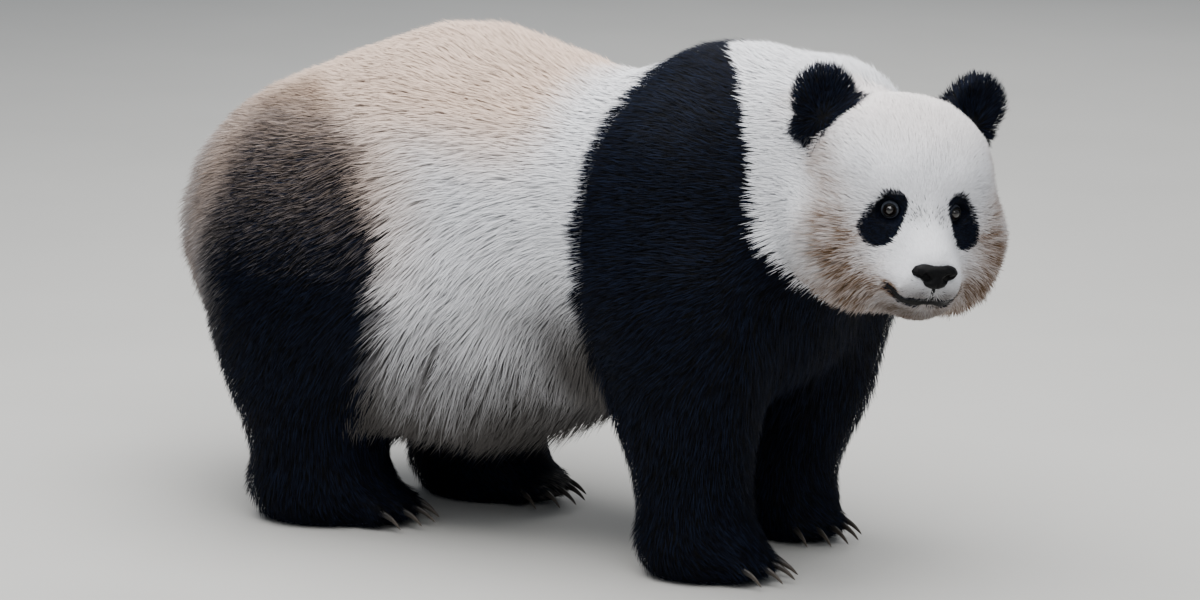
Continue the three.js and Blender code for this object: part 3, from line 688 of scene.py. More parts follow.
def claw_material(colours):
    """Horn: grey-brown, paler at the worn tip, streaked along the claw and half polished."""
    material, tree, shader = fresh("claw_horn")
    streaks = noise(tree, 3.0, 4.0)
    tip = ranged(tree, read(tree, "along"), 0.35, 1.0)
    colour = mixed(tree, tip, colours["horn_deep"], colours["horn"])
    colour = mixed(tree, ranged(tree, streaks, 0.4, 0.7, 0.0, 0.4), colour, colours["horn_streak"])
    paint(tree, shader, Base_Color=colour, Roughness=ranged(tree, streaks, 0.3, 0.7, 0.32, 0.5))
    bump(tree, shader, streaks, 0.25, 0.4)
    return material


# ------------------------------------------------------------------ settings


def length(name, default_mm, text):
    return FloatProperty(name=name, description=text, default=default_mm * MM, unit="LENGTH", precision=4)


def tint(name, hex_code, text):
    colour = shade(hex_code)
    span = dict(size=4, subtype="COLOR", min=0, max=1)
    return FloatVectorProperty(name=name, description=text, default=colour, **span)


def angle(name, degrees, text):
    return FloatProperty(name=name, description=text, default=radians(degrees), subtype="ANGLE")


class PandaSkinSettings(PropertyGroup):
    voxel: length("Grid", 8.0, "Spacing of the grid that the flesh is joined on")
    swell: length("Swell", 0.9, "How far each solid of flesh grows to meet the next")
    lid: length("Lid thickness", 1.5, "Thickness of the eyelids over the ball")
    lips: length("Lip groove", 4.0, "Depth of the line between the lips")


class PandaCoatSettings(PropertyGroup):
    layers: FloatProperty(name="Layers", description="How many tufts lie over a spot of skin", default=2.8)
    seed: IntProperty(name="Seed", description="Number that all scattering starts from", default=7)
    white: tint("White", "F5F6FB", "Hair of the flanks, neck and face")
    peach: tint("Peach", "E3BC9C", "Stain along the back")
    tan: tint("Tan", "856547", "Stain on the cheeks and at the rear")
    brown: tint("Brown", "55412E", "Deepest stain on the cheeks")
    # painted shade: the grey of hair under the belly, behind the arm, between the low locks and under the
    # nose and chin, with some dirt under the belly
    grime: tint("Grime", "3F3933", "Shaded hair under the belly")
    black: tint("Black", "050609", "Roots of the black hair")
    # painted sheen: the bluish tips and bluish tufts of the black coat stand for sky light on black hair,
    # not for bluish hair
    black_tip: tint("Black tips and painted sheen", "0F1320", "Tips of the black hair")
    black_sheen: tint("Painted black sheen", "1D263C", "The bluish hairs in the black coat")
    pepper: tint("Pale tips", "8D8480", "Tips of the dark hair over the haunches")


class PandaFaceSettings(PropertyGroup):
    nose_grid: length("Nose grid", 1.1, "Spacing of the grid that the nose pad is shaped on")
    lid: tint("Lid", "868D9B", "Bare rim of the eyelids")
    lid_deep: tint("Lid folds", "555A67", "Folds of the eyelids")
    nose: tint("Nose", "040405", "Grooves of the nose pad, and the lips")
    nose_top: tint("Nose grains", "0B0B0D", "Grains of the nose pad")
    iris: tint("Iris", "1D140F", "Fibres of the iris")
    iris_deep: tint("Iris depth", "0A0605", "Ground of the iris")
    pupil: tint("Pupil", "020203", "The upright pupil")
    eye_white: tint("Eye edge", "2E2724", "Dark rim of the ball where the lids meet it")


class PandaClawSettings(PropertyGroup):
    buried: length("Buried root", 14.0, "How far a claw runs back into its toe")
    root: length("Root height", 11.5, "Height of a claw where it leaves the toe")
    horn: tint("Horn tip", "4C4239", "Worn tip of the claws")
    horn_deep: tint("Horn", "1C1917", "Horn at the root")
    horn_streak: tint("Horn streaks", "161311", "Streaks along the horn")


class PandaStageSettings(PropertyGroup):
    distance: length("Distance", 8000, "From the camera to the animal's middle")
    azimuth: angle("Azimuth", 33, "Camera's turn round the animal")
    elevation: angle("Elevation", 12, "Camera's height angle")
    lens: FloatProperty(name="Lens", description="Focal length in mm on a 36 mm sensor", default=160.8)
    floor: tint("Floor", "B9B8B5", "Plain studio floor")


GROUPS = {
    "panda_skin": PandaSkinSettings,
    "panda_coat": PandaCoatSettings,
    "panda_face": PandaFaceSettings,
    "panda_claw": PandaClawSettings,
    "panda_stage": PandaStageSettings,
}


def colours_of(*groups):
    """Every colour in the named settings, by name."""
    found = {}
    for group in groups:
        settings = getattr(bpy.context.scene, group)
        for key in settings.bl_rna.properties.keys():
            value = getattr(settings, key)
            if hasattr(value, "__len__") and len(value) == 4:
                found[key] = tuple(value)
    return found


# ------------------------------------------------------------------ meshes


def deselect():
    if bpy.context.mode != "OBJECT":
        bpy.ops.object.mode_set(mode="OBJECT")
    bpy.ops.object.select_all(action="DESELECT")


def activate(piece):
    """Selects one object and nothing else."""
    deselect()
    piece.select_set(True)
    bpy.context.view_layer.objects.active = piece


def edit_all(*steps):
    """Takes each step, a tool with its values, on everything in the active mesh."""
    bpy.ops.object.mode_set(mode="EDIT")
    bpy.ops.mesh.select_all(action="SELECT")
    for tool, values in steps:
        tool(**values)
    bpy.ops.object.mode_set(mode="OBJECT")


def select_faces(mesh, chosen):
    """Selects the chosen faces of the active mesh and no others, and leaves it in Edit mode."""
    bpy.ops.object.mode_set(mode="EDIT")
    bpy.ops.mesh.select_mode(type="FACE")
    bpy.ops.mesh.select_all(action="DESELECT")
    bpy.ops.object.mode_set(mode="OBJECT")
    mesh.polygons.foreach_set("select", chosen)
    bpy.ops.object.mode_set(mode="EDIT")


def read_out(parts, name, width=1, kind=np.float32):
    """One value of each part of a mesh, as an array with a row for each."""
    out = np.empty(len(parts) * width, kind)
    parts.foreach_get(name, out)
    return out.reshape(-1, width) if width > 1 else out


def points_of(piece):
    """The places of a mesh's vertices, in mm."""
    return read_out(piece.data.vertices, "co", 3).astype(float) / MM


def put_points(piece, p):
    piece.data.vertices.foreach_set("co", (p * MM).astype(np.float32).ravel())
    piece.data.update()


def normals_of(piece):
    return read_out(piece.data.vertices, "normal", 3).astype(float)


def face_middles(mesh):
    """The middles of a mesh's faces, in mm."""
    return read_out(mesh.polygons, "center", 3).astype(float) / MM


def write_marks(mesh, values):
    """Stores each array of values as an attribute of the mesh's vertices."""
    for name, v in values.items():
        attribute = mesh.attributes.get(name) or mesh.attributes.new(name, "FLOAT", "POINT")
        attribute.data.foreach_set("value", np.clip(v, -50, 50).astype(np.float32))


def copies_joined(nodes, name):
    """One object made of copies of CAD nodes, with loose triangles merged."""
    deselect()
    for n in nodes:
        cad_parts[n].select_set(True)
    bpy.context.view_layer.objects.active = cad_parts[nodes[0]]
    bpy.ops.object.duplicate()
    copies = list(bpy.context.selected_objects)
    bpy.context.view_layer.objects.active = copies[0]
    if len(copies) > 1:
        bpy.ops.object.join()
    piece = bpy.context.view_layer.objects.active
    piece.parent = None
    for key in [k for k in piece.keys() if k.startswith("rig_")]:
        del piece[key]
    piece.name = piece.data.name = name
    piece.data.materials.clear()
    edit_all(
        (bpy.ops.mesh.remove_doubles, {"threshold": 0.01 * MM}),
        (bpy.ops.mesh.normals_make_consistent, {"inside": False}),
    )
    return piece


def add_modifier(piece, kind, **settings):
    """Adds a modifier, sets it and applies it."""
    activate(piece)
    bpy.ops.object.modifier_add(type=kind)
    modifier = piece.modifiers[-1]
    for key, value in settings.items():
        setattr(modifier, key, value)
    bpy.ops.object.modifier_apply(modifier=modifier.name)


def remesh(piece, voxel):
    activate(piece)
    piece.data.remesh_voxel_size = voxel
    piece.data.remesh_voxel_adaptivity = 0
    bpy.ops.object.voxel_remesh()


def refine(piece, wanted):
    """Subdivides the faces whose middles are wanted."""
    activate(piece)
    select_faces(piece.data, wanted(face_middles(piece.data)))
    bpy.ops.mesh.subdivide(number_cuts=1, smoothness=0, quadcorner="INNERVERT")
    bpy.ops.object.mode_set(mode="OBJECT")


def finish_piece(piece, slot, *replaced):
    """Puts a finished piece on the body and hides the CAD nodes it stands for. The slot is not used."""
    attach(piece, "root")
    if replaced:
        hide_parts(*replaced)


# ------------------------------------------------------------------ skin


def draw_in(p, n):
    """Moves the outline inwards by the depth of the coat."""
    coat = lie_of_coat(p)
    depth = coat["length"] * standing(coat, n) * (0.82 - 0.22 * coat["ear"])
    # the toes are thin, so the feet are drawn in less
    depth = depth * (1 - 0.62 * smooth(p[:, 2], 105, 65))
    sole = smooth(-n[:, 2], 0.5, 0.9) * smooth(p[:, 2], 16, 6)
    depth = depth * (1 - sole) + 0.8 * sole
    moved = p - n * depth[:, None]
    moved[:, 2] = np.maximum(moved[:, 2], 0.6)
    return moved


def shape_face(p):
    """Gives the skin its eye sockets and lids, the line between the lips, and the folds round them."""
    settings = bpy.context.scene.panda_skin
    head = to_head(p)
    hx, hy, hz = head.T
    # lips: a groove, with the lower lip set back under the upper one
    rise = hz - mouth_height(hy)
    front = smooth(hx, 70, 92) * smooth(np.abs(hy), MOUTH_HALF + 6, MOUTH_HALF - 6)
    groove = np.exp(-((rise / 2.2) ** 2)) * settings.lips / MM
    tucked = 4.0 * smooth(rise, 1.0, -3.0) * smooth(rise, -24, -10)
    outward = unit(np.stack([hx - 60, hy, np.zeros_like(hx)], 1))
    head = head - outward * ((groove + tucked) * front)[:, None]
    # philtrum: a shallow furrow from the nose pad to the lips
    furrow = 1.6 * np.exp(-((hy / 2.0) ** 2)) * smooth(hx, 125, 135)
    head[:, 0] -= furrow * smooth(hz, -101, -95) * smooth(hz, -66, -72)
    p = from_head(head)
    # eyes: the skin wraps the ball as lids, open over the iris
    lid = settings.lid / MM
    ahead, off = eye_places(p)
    for eye, a, q in zip(EYES, ahead, off):
        radius = ball_radius(eye) / MM
        local = (p - middle(eye)) @ HEAD_AXES.T
        upward = local[:, 2] / np.maximum(q, 0.5)
        opening = 8.8 - 1.0 * np.abs(upward) - 0.5 * smooth(upward, 0, 1)
        wrap = np.sqrt(np.maximum((radius + lid) ** 2 - np.minimum(q, radius + lid) ** 2, 0))
        hidden = np.sqrt(np.maximum((radius - 2.5) ** 2 - np.minimum(q, radius - 2.5) ** 2, 0))
        blend_out = smooth(q, opening + 3.5, 21)
        target = wrap * (1 - blend_out) + a * blend_out
        crease = np.exp(-(((q - opening - 4.8) / 1.1) ** 2)) * (0.9 + 0.5 * smooth(upward, 0, 0.8))
        target = target - crease
        inside = smooth(q, opening + 0.2, opening - 0.6)
        target = target * (1 - inside) + hidden * inside
        near = (q < 22) & (a > 0)
        shift = np.where(near, target - a, 0)
        p = p + np.outer(shift, gaze_of(eye))
    return p


class PANDA_OT_skin(Operator):
    """Makes one skin from the solids of flesh, and shapes the face on it"""

    bl_idname = "panda.skin"
    bl_label = "Skin"

    def execute(self, context):
        settings = context.scene.panda_skin
        skin = copies_joined(FLESH, "skin")
        # the pieces stand 0.6 mm apart, so each swells a little and meets the next
        activate(skin)
        edit_all((bpy.ops.transform.shrink_fatten, {"value": settings.swell}))
        remesh(skin, settings.voxel)
        add_modifier(skin, "SMOOTH", factor=0.5, iterations=14)
        # the step where the tail leaves the rump is hidden in the coat, so it is evened out further
        p = points_of(skin)
        about_tail = skin.vertex_groups.new(name="about_tail")
        chosen = np.flatnonzero((p[:, 0] < -600) & (np.abs(p[:, 1]) < 110))
        about_tail.add(chosen.tolist(), 1.0, "REPLACE")
        add_modifier(skin, "SMOOTH", factor=0.5, iterations=50, vertex_group="about_tail")
        p = points_of(skin)
        put_points(skin, draw_in(p, normals_of(skin)))
        add_modifier(skin, "SMOOTH", factor=0.5, iterations=4)
        muzzle = np.array([110, 0, -50])
        refine(skin, lambda c: np.linalg.norm((to_head(c) - muzzle) / [75, 95, 110], axis=1) < 1)
        refine(skin, self.near_features)
        refine(skin, lambda c: np.min(eye_places(c)[1], 0) + 60 * (to_head(c)[:, 0] < 60) < 19)
        put_points(skin, shape_face(points_of(skin)))
        activate(skin)
        bpy.ops.object.shade_smooth()
        skin.data.materials.append(skin_material(colours_of("panda_coat", "panda_face")))
        p = points_of(skin)
        marks = markings(p)
        off = np.min(eye_places(p)[1], 0)
        # a pale ring of bare lid shows round each eye
        rim = smooth(off, LID_RADIUS - 0.3, LID_RADIUS - 1.3) * smooth(off, 10.0, 11.0)
        write_marks(skin.data, {k: marks[k] for k in MARKS} | {"rim": rim})
        edit_all((bpy.ops.uv.smart_project, {"angle_limit": radians(66), "island_margin": 0.002}))
        skin.data.uv_layers[0].name = "OFBake"
        finish_piece(skin, "coat_white", *FLESH)
        return {"FINISHED"}

    @staticmethod
    def near_features(c):
        """Faces by the eyes, the lips and the nose pad, where the skin needs a finer mesh."""
        head = to_head(c)
        mouth = np.abs(head[:, 2] - mouth_height(head[:, 1])) < 12
        mouth &= (head[:, 0] > 80) & (np.abs(head[:, 1]) < MOUTH_HALF + 12)
        mouth |= (head[:, 0] > 125) & (np.abs(head[:, 1]) < 34) & (head[:, 2] < -36)
        eyes = (np.min(eye_places(c)[1], 0) < 24) & (head[:, 0] > 60)
        return mouth | eyes


# ------------------------------------------------------------------ coat


def scatter(patch, total, rng, weight):
    """Roots spread over a patch of skin: places in mm, normals and UV places."""
    mesh = patch.data
    mesh.calc_loop_triangles()
    count = len(mesh.loop_triangles)
    corners = read_out(mesh.loop_triangles, "vertices", 3, np.int32)
    loops = read_out(mesh.loop_triangles, "loops", 3, np.int32)
    p, n = points_of(patch), normals_of(patch)
    uv = read_out(mesh.uv_layers[0].uv, "vector", 2)
    a, b, c = (p[corners[:, k]] for k in range(3))
    area = np.linalg.norm(np.cross(b - a, c - a), axis=1) / 2
    load = np.cumsum(area * weight(p[corners].mean(1)))
    picks = (np.arange(total) + rng.random(total)) / total * load[-1]
    tri = np.minimum(np.searchsorted(load, picks), count - 1)
    a, b = rng.random((2, total))
    flip = a + b > 1
    a[flip], b[flip] = 1 - a[flip], 1 - b[flip]
    share = np.stack([1 - a - b, a, b], 1)[:, :, None]
    return (
        (p[corners[tri]] * share).sum(1),
        unit((n[corners[tri]] * share).sum(1)),
        (uv[loops[tri]] * share).sum(1),
    )


def need_of(p, layers):
    """How many tufts a square millimetre of skin needs at places p."""
    coat = lie_of_coat(p)
    # black skin hides between black hairs, so they need not lie as close
    spared = 1 - 0.42 * markings(p)["dark"] * (1 - coat["ear"])
    return layers * spared / (0.6 * coat["length"] * coat["width"])


# how wide a tuft's patch is on the skin's unwrap
UNWRAP_PATCH = 0.003
# the rings of three points round a tuft: how far along it each lies, and its width beside the widest
RINGS = {1: ((0.36, 1.0),), 2: ((0.22, 1.0), (0.60, 0.74))}
# the three points of a ring, across and above the tuft's middle line, beside its half width
RING_POINTS = ((1.0, -0.1), (0.0, 0.32), (-1.0, -0.1))


def tuft_lines(root, normal, coat, rng, rings):
    """The middle line of each tuft: its root, each ring and its tip."""
    total = len(root)
    flow = coat["flow"]
    swing = radians(13) * wander(root, 55, 21) + radians(8) * wander(root, 17, 22)
    swing = swing + rng.normal(0, radians(6), total)
    flow = unit(flow - normal * (flow * normal).sum(1, keepdims=True))
    side = np.cross(normal, flow)
    flow = flow * np.cos(swing)[:, None] + side * np.sin(swing)[:, None]
    size = coat["length"] * (1 + 0.16 * wander(root, 30, 23) + rng.normal(0, 0.11, total))
    size = np.maximum(size, 0.45 * coat["length"])
    rise = standing(coat, normal)
    start = np.arcsin(np.clip(rise * 1.45, 0, 0.95)) + rng.normal(0, 0.09, total)
    end = np.arcsin(np.clip(rise * 0.55 + 0.4 * np.maximum(rise - 0.5, 0), 0, 0.95))
    end = end + rng.normal(0, 0.10, total)
    first = flow * np.cos(start)[:, None] + normal * np.sin(start)[:, None]
    last = flow * np.cos(end)[:, None] + normal * np.sin(end)[:, None]
    to_lock = lock_middles(root, coat["lock"], 31) - root
    to_lock -= normal * (to_lock * normal).sum(1, keepdims=True)
    drop = np.array([0, 0, -1.0]) * (0.10 * size * smooth(size, 35, 80))[:, None]
    line = [root - normal * 1.5]
    for t in [ring[0] for ring in RINGS[rings]] + [1.0]:
        along = first * (t - t * t / 2) + last * (t * t / 2)
        line.append(root + along * size[:, None] + to_lock * (coat["pull"] * t**1.3)[:, None] + drop * t**2)
    line = np.stack(line, 1)
    # hair that meets the floor lies along it
    line[:, :, 2] = np.maximum(line[:, :, 2], 1.2 + 2 * rng.random((total, 1)))
    return line


def tuft_faces(rings):
    """The corners of each triangle of one closed tuft: root 0, then the rings, then the tip."""
    tris = []
    for c in range(3):
        a, b = 1 + c, 1 + (c + 1) % 3
        tris.append((a, b, 0))
        for k in range(rings - 1):
            tris += [(b, a, a + 3), (b, a + 3, b + 3)]
            a, b = a + 3, b + 3
        tris.append((b, a, 1 + 3 * rings))
    return np.array(tris)


def build_tufts(name, roots, rings, rng, material):
    """A joined mesh of closed, three-sided tufts, pointed at both ends."""
    root, normal, uv = roots
    total = len(root)
    coat = lie_of_coat(root)
    line = tuft_lines(root, normal, coat, rng, rings)
    ahead = unit(np.diff(line, axis=1))
    wide = unit(np.cross(ahead, normal[:, None, :]))
    thick = np.cross(wide, ahead)
    turn = rng.normal(0, 0.25, (total, 1))
    half = coat["width"][:, None] / 2 * (0.8 + 0.4 * rng.random((total, 1)))
    spots, soft, along = [line[:, 0]], [normal], [0.0]
    for k, (t, share) in enumerate(RINGS[rings], 1):
        for across, above in RING_POINTS:
            x = across * np.cos(turn) - above * np.sin(turn)
            y = across * np.sin(turn) + above * np.cos(turn)
            arm = wide[:, k] * x + thick[:, k] * y
            spots.append(line[:, k] + arm * half * share)
            soft.append(unit(normal + 0.3 * arm))
            along.append(t)
    spots.append(line[:, -1])
    soft.append(unit(normal + 0.15 * ahead[:, -1]))
    along.append(1.0)
    each = len(spots)
    co = np.stack(spots, 1).reshape(-1, 3)
    co[:, 2] = np.maximum(co[:, 2], 0.2)
    faces = (np.arange(total)[:, None, None] * each + tuft_faces(rings)).reshape(-1)

    mesh = bpy.data.meshes.new(name)
    mesh.vertices.add(len(co))
    mesh.vertices.foreach_set("co", (co * MM).astype(np.float32).ravel())
    mesh.loops.add(len(faces))
    mesh.loops.foreach_set("vertex_index", faces.astype(np.int32))
    mesh.polygons.add(len(faces) // 3)
    mesh.polygons.foreach_set("loop_start", np.arange(0, len(faces), 3, dtype=np.int32))
    mesh.polygons.foreach_set("use_smooth", np.ones(len(faces) // 3, bool))
    mesh.update(calc_edges=True)

    chance = rng.random(total)
    marks = markings(root)
    # a hair is black or white, so a border is a mixture of both; over the haunches each is in between
    draw = rng.random(total)
    black = (marks["dark"] > 0.08 + 0.84 * draw) | (rng.random(total) < marks["speckle"])
    between = np.clip(1.25 * marks["dark"] - 0.1 + 0.5 * (draw - 0.5), 0, 1)
    dark = np.where((marks["pepper"] > 0.03) | (marks["mixed"] > 0.1), between, black)
    marks["tan"] = marks["tan"] * (0.7 + 0.5 * rng.random(total))
    values = {k: np.repeat(marks[k], each) for k in MARKS[1:5]}
    values["dark"] = np.repeat(dark, each)
    values["chance"] = np.repeat(chance, each)
    values["along"] = np.tile(along, total)
    write_marks(mesh, values)

    # each tuft takes a small patch at its root's place on the skin's unwrap
    spot_x = np.array([0.5, *np.tile([1.0, 0.5, 0.0], rings), 0.5]) - 0.5
    spot_y = np.array(along) + np.array([0.0, *np.tile([0.0, 0.08, 0.0], rings), 0.0]) - 0.5
    spot = uv[:, None, :] + UNWRAP_PATCH * np.stack([spot_x, spot_y], 1)[None]
    layer = mesh.uv_layers.new(name="OFBake")
    layer.uv.foreach_set("vector", spot.reshape(-1, 2)[faces].astype(np.float32).ravel())

    # hair shades softly: a tuft's normals lean towards the skin's
    soft = np.stack(soft, 1).reshape(-1, 3)
    mesh.normals_split_custom_set_from_vertices(soft.astype(np.float32))
    mesh.materials.append(material)
    piece = bpy.data.objects.new(name, mesh)
    bpy.context.scene.collection.objects.link(piece)
    return piece


def patches_of(skin):
    """Unwrapped copies of the parts of the skin that each coat piece grows from, by name."""
    centres = face_middles(skin.data)
    owner = lie_of_coat(centres)["piece"]
    left = np.where(owner == PIECES.index("face"), to_head(centres)[:, 1] > 0, centres[:, 1] > 0)
    for number, piece_name in enumerate(PIECES):
        for side, label in ((True, "left"), (False, "right")):
            name = f"coat_{piece_name}_{label}"
            deselect()
            patch = skin.copy()
            patch.data = skin.data.copy()
            patch.name = "patch_" + name
            bpy.context.scene.collection.objects.link(patch)
            activate(patch)
            select_faces(patch.data, (owner != number) | (left != side))
            bpy.ops.mesh.delete(type="FACE")
            edit_all((bpy.ops.uv.smart_project, {"angle_limit": radians(66), "island_margin": 0.004}))
            yield name, patch


class PANDA_OT_coat(Operator):
    """Grows the coat from the skin, as joined meshes of tufts"""

    bl_idname = "panda.coat"
    bl_label = "Coat"

    def execute(self, context):
        settings = context.scene.panda_coat
        skin = bpy.data.objects.get("skin")
        if skin is None:
            raise RuntimeError("make the skin before the coat")
        layers = settings.layers * 1
        material = hair_material(colours_of("panda_coat"))
        rng = np.random.default_rng(settings.seed)
        for name, patch in patches_of(skin):
            if not len(patch.data.polygons):
                bpy.data.objects.remove(patch)
                continue
            areas = read_out(patch.data.polygons, "area")
            total = int((areas / MM**2 * need_of(face_middles(patch.data), layers)).sum())
            roots = scatter(patch, total, rng, lambda c: need_of(c, layers))
            keep = markings(roots[0])["bare"] < 0.5
            roots = tuple(v[keep] for v in roots)
            bpy.data.objects.remove(patch)
            rings = 2 if any(part in name for part in LONG_COATED) else 1
            piece = build_tufts(name, roots, rings, rng, material)
            dark = np.mean(markings(roots[0])["dark"]) > 0.5
            finish_piece(piece, "coat_black" if dark else "coat_white")
        return {"FINISHED"}


# ------------------------------------------------------------------ eyes, nose and claws


class PANDA_OT_eyes(Operator):
    """Makes the eyeballs, each with a raised cornea"""

    bl_idname = "panda.eyes"
    bl_label = "Eyes"

    def execute(self, context):
        material = eye_material(colours_of("panda_face"))
        up = HEAD_AXES[2]
        for name in EYES:
            gaze = gaze_of(name)
            side = np.cross(up, gaze)
            deselect()
            bpy.ops.mesh.primitive_uv_sphere_add(segments=48, ring_count=32, radius=ball_radius(name))
            eye = bpy.context.active_object
            eye.name = eye.data.name = "eyeball" + name[3:]
            local = points_of(eye)
            flat = np.hypot(local[:, 0], local[:, 1])
            # the cornea stands out over the iris
            local[:, 2] += 1.1 * smooth(flat, 8.5, 3.0) * (local[:, 2] > 0)
            write_marks(eye.data, {"iris_side": local[:, 0], "iris_up": local[:, 1]})
            put_points(eye, local @ np.stack([side, up, gaze]) + middle(name))
            activate(eye)
            bpy.ops.object.shade_smooth()
            eye.data.materials.append(material)
            finish_piece(eye, "eye", name)
        return {"FINISHED"}


class PANDA_OT_nose(Operator):
    """Makes the nose pad with its nostrils from the solid of the pad"""

    bl_idname = "panda.nose"
    bl_label = "Nose"

    def execute(self, context):
        pad = copies_joined(("nose",), "nose_pad")
        remesh(pad, context.scene.panda_face.nose_grid)
        add_modifier(pad, "SMOOTH", factor=0.5, iterations=16)
        head = to_head(points_of(pad))
        p, n = points_of(pad), normals_of(pad)
        out = (n @ HEAD_AXES.T)[:, 0]
        y, z = np.abs(head[:, 1]), head[:, 2].copy()
        # nostrils: a round hole with a slit that runs outwards and up from it
        hole = np.exp(-((((y - 14) / 5.6) ** 2 + ((z + 60) / 4.4) ** 2) ** 1.5))
        slit = np.exp(-(((z + 58 - 0.3 * (y - 20)) / 1.9) ** 2)) * smooth(y, 14, 18) * smooth(y, 31, 26)
        cleft = np.exp(-((y / 1.3) ** 2)) * smooth(z, -60, -68)
        depth = (7.0 * hole + 3.0 * slit + 1.5 * cleft) * smooth(out, -0.1, 0.3)
        # the hollows are marked for painted shade in the nose material
        write_marks(pad.data, {"hollow": np.clip(hole + 0.8 * slit + 0.6 * cleft, 0, 1)})
        head[:, 0] -= depth
        # the pad narrows a little to a blunt lower end
        head[:, 1] *= 1 - 0.08 * smooth(z, -58, -78)
        head[:, 2] += 0.45 * np.maximum(-66 - z, 0)
        put_points(pad, from_head(head) + n * 0.4)
        add_modifier(pad, "SMOOTH", factor=0.5, iterations=4)
        activate(pad)
        bpy.ops.object.shade_smooth()
        pad.data.materials.append(nose_material(colours_of("panda_face")))
        finish_piece(pad, "nose", "nose")
        return {"FINISHED"}


class PANDA_OT_claws(Operator):
    """Makes the claws: curved horns that grow from inside the toes"""

    bl_idname = "panda.claws"
    bl_label = "Claws"

    def execute(self, context):
        settings = context.scene.panda_claw
        material = claw_material(colours_of("panda_claw"))
        for name in CLAWS:
            p = points_of(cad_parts[name])
            paw = name.split("claw")[0] + "paw_" + name.split("_")[1]
            tip = p[np.argmax(np.linalg.norm((p - middle(paw))[:, :2], axis=1))]
            gap = np.linalg.norm(p - tip, axis=1)
            root = p[gap > gap.max() - 6].mean(0)
            back = unit((root - tip) * [1, 1, 0])
            root = root + back * settings.buried / MM
            self.make_claw(name, root, tip, settings.root / MM / 2, material)
        return {"FINISHED"}

    def make_claw(self, name, root, tip, half, material):
        """A cone bent along an arc from root to tip, tall and narrow, rounded at the point."""
        rings, sides = 14, 14
        deselect()
        bpy.ops.mesh.primitive_cylinder_add(vertices=sides, radius=1, depth=1, end_fill_type="TRIFAN")
        claw = bpy.context.active_object
        claw.name = claw.data.name = "horn_" + name
        build = bmesh.new()
        build.from_mesh(claw.data)
        build.edges.ensure_lookup_table()
        upright = [e for e in build.edges if abs(e.verts[0].co.z - e.verts[1].co.z) > 0.5]
        bmesh.ops.subdivide_edges(build, edges=upright, cuts=rings - 1)
        build.to_mesh(claw.data)
        build.free()
        local = points_of(claw) * MM
        t = local[:, 2] + 0.5
        ahead = tip - root
        flat = unit(ahead * [1, 1, 0])
        side = np.cross([0, 0, 1], flat)
        reach, drop = ahead @ flat, ahead[2]
        # the middle line leaves the toe level and curves down to the tip
        x = reach * t
        z = drop * t**2.2
        size = half * np.sqrt(np.clip(1 - t**1.6, 0, 1)) * (1 - 0.35 * t) + 0.35
        lean = np.arctan2(2.2 * drop * t**1.2, reach)
        across, tall = local[:, 1] * size * 0.68, local[:, 0] * size
        place = root + np.outer(x - tall * np.sin(lean), flat) + np.outer(across, side)
        place[:, 2] += z + tall * np.cos(lean)
        put_points(claw, place)
        write_marks(claw.data, {"along": t})
        activate(claw)
        edit_all((bpy.ops.mesh.normals_make_consistent, {"inside": False}))
        bpy.ops.object.shade_smooth_by_angle(angle=radians(50))
        claw.data.materials.append(material)
        finish_piece(claw, "claw", name)


# ------------------------------------------------------------------ stage


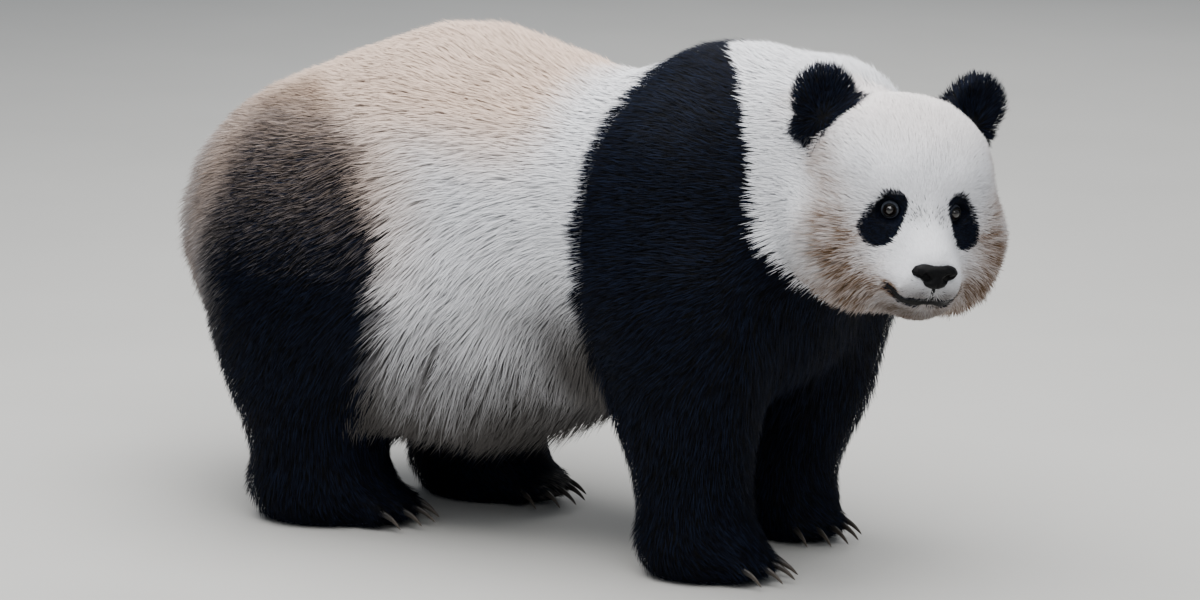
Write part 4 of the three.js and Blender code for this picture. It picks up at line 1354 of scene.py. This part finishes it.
class PANDA_OT_stage(Operator):
    """Sets the pale floor, the soft lights and the camera"""

    bl_idname = "panda.stage"
    bl_label = "Stage"

    def execute(self, context):
        settings = context.scene.panda_stage
        deselect()
        bpy.ops.mesh.primitive_plane_add(size=60)
        floor = context.active_object
        floor.name = "floor"
        material, tree, shader = fresh("studio_floor")
        speck = ranged(tree, noise(tree, 400.0), 0.3, 0.7, 0.0, 1.0)
        pale = tuple(settings.floor)
        lighter = tuple(min(1.0, v * 1.04) for v in pale)
        tree.links.new(mixed(tree, speck, pale, lighter), shader.inputs["Base Color"])
        shader.inputs["Roughness"].default_value = 0.8
        floor.data.materials.append(material)
        target = Vector((0.010, 0.0015, 0.355))
        self.add_light("overhead", (0.0, -0.4, 3.6), target, 4.5, 350)
        self.add_light("key", (2.8, -3.0, 3.4), target, 2.8, 75)
        self.add_light("rim", (-1.5, 4.2, 3.0), target, 2.8, 70)
        world = bpy.data.worlds.new("soft_sky")
        context.scene.world = world
        world.use_nodes = True
        sky = world.node_tree.nodes.get("Background") or node(world.node_tree, "ShaderNodeBackground")
        sky.inputs[0].default_value = (0.82, 0.9, 1.0, 1)
        sky.inputs[1].default_value = 0.36
        self.add_camera(context, settings, target)
        return {"FINISHED"}

    @staticmethod
    def add_light(name, place, target, size, power):
        light = bpy.data.lights.new(name, "AREA")
        light.energy, light.size = power, size
        light.color = (1.0, 0.99, 0.97)
        lamp = bpy.data.objects.new(name, light)
        lamp.location = place
        lamp.rotation_euler = (target - Vector(place)).to_track_quat("-Z", "Y").to_euler()
        bpy.context.scene.collection.objects.link(lamp)

    @staticmethod
    def add_camera(context, settings, target):
        camera = bpy.data.cameras.new("camera")
        camera.lens = settings.lens
        camera.sensor_width = 36
        camera.sensor_fit = "HORIZONTAL"
        camera.clip_end = 100
        holder = bpy.data.objects.new("camera", camera)
        context.scene.collection.objects.link(holder)
        a, e = settings.azimuth, settings.elevation
        back = Vector((sin(a) * cos(e), -cos(a) * cos(e), sin(e)))
        holder.location = target + back * settings.distance
        holder.rotation_euler = (-back).to_track_quat("-Z", "Y").to_euler()
        context.scene.camera = holder


# ------------------------------------------------------------------ panel and registration

OPERATORS = (PANDA_OT_skin, PANDA_OT_coat, PANDA_OT_eyes, PANDA_OT_nose, PANDA_OT_claws, PANDA_OT_stage)


class PANDA_PT_parts(Panel):
    """Buttons that make the panda, piece by piece"""

    bl_label = "Giant Panda"
    bl_idname = "PANDA_PT_parts"
    bl_space_type = "VIEW_3D"
    bl_region_type = "UI"
    bl_category = "Panda"

    def draw(self, context):
        for operator in OPERATORS:
            self.layout.operator(operator.bl_idname)
        for group in GROUPS:
            settings = getattr(context.scene, group)
            box = self.layout.box()
            for key in settings.bl_rna.properties.keys():
                if key not in ("rna_type", "name"):
                    box.prop(settings, key)


def register():
    for cls in (*GROUPS.values(), *OPERATORS, PANDA_PT_parts):
        bpy.utils.register_class(cls)
    for name, cls in GROUPS.items():
        setattr(bpy.types.Scene, name, PointerProperty(type=cls))


def unregister():
    for name in GROUPS:
        delattr(bpy.types.Scene, name)
    for cls in reversed((*GROUPS.values(), *OPERATORS, PANDA_PT_parts)):
        bpy.utils.unregister_class(cls)


def main():
    register()
    bpy.ops.panda.skin()
    bpy.ops.panda.coat()
    bpy.ops.panda.eyes()
    bpy.ops.panda.nose()
    bpy.ops.panda.claws()
    bpy.ops.panda.stage()


if __name__ == "__main__":
    main()
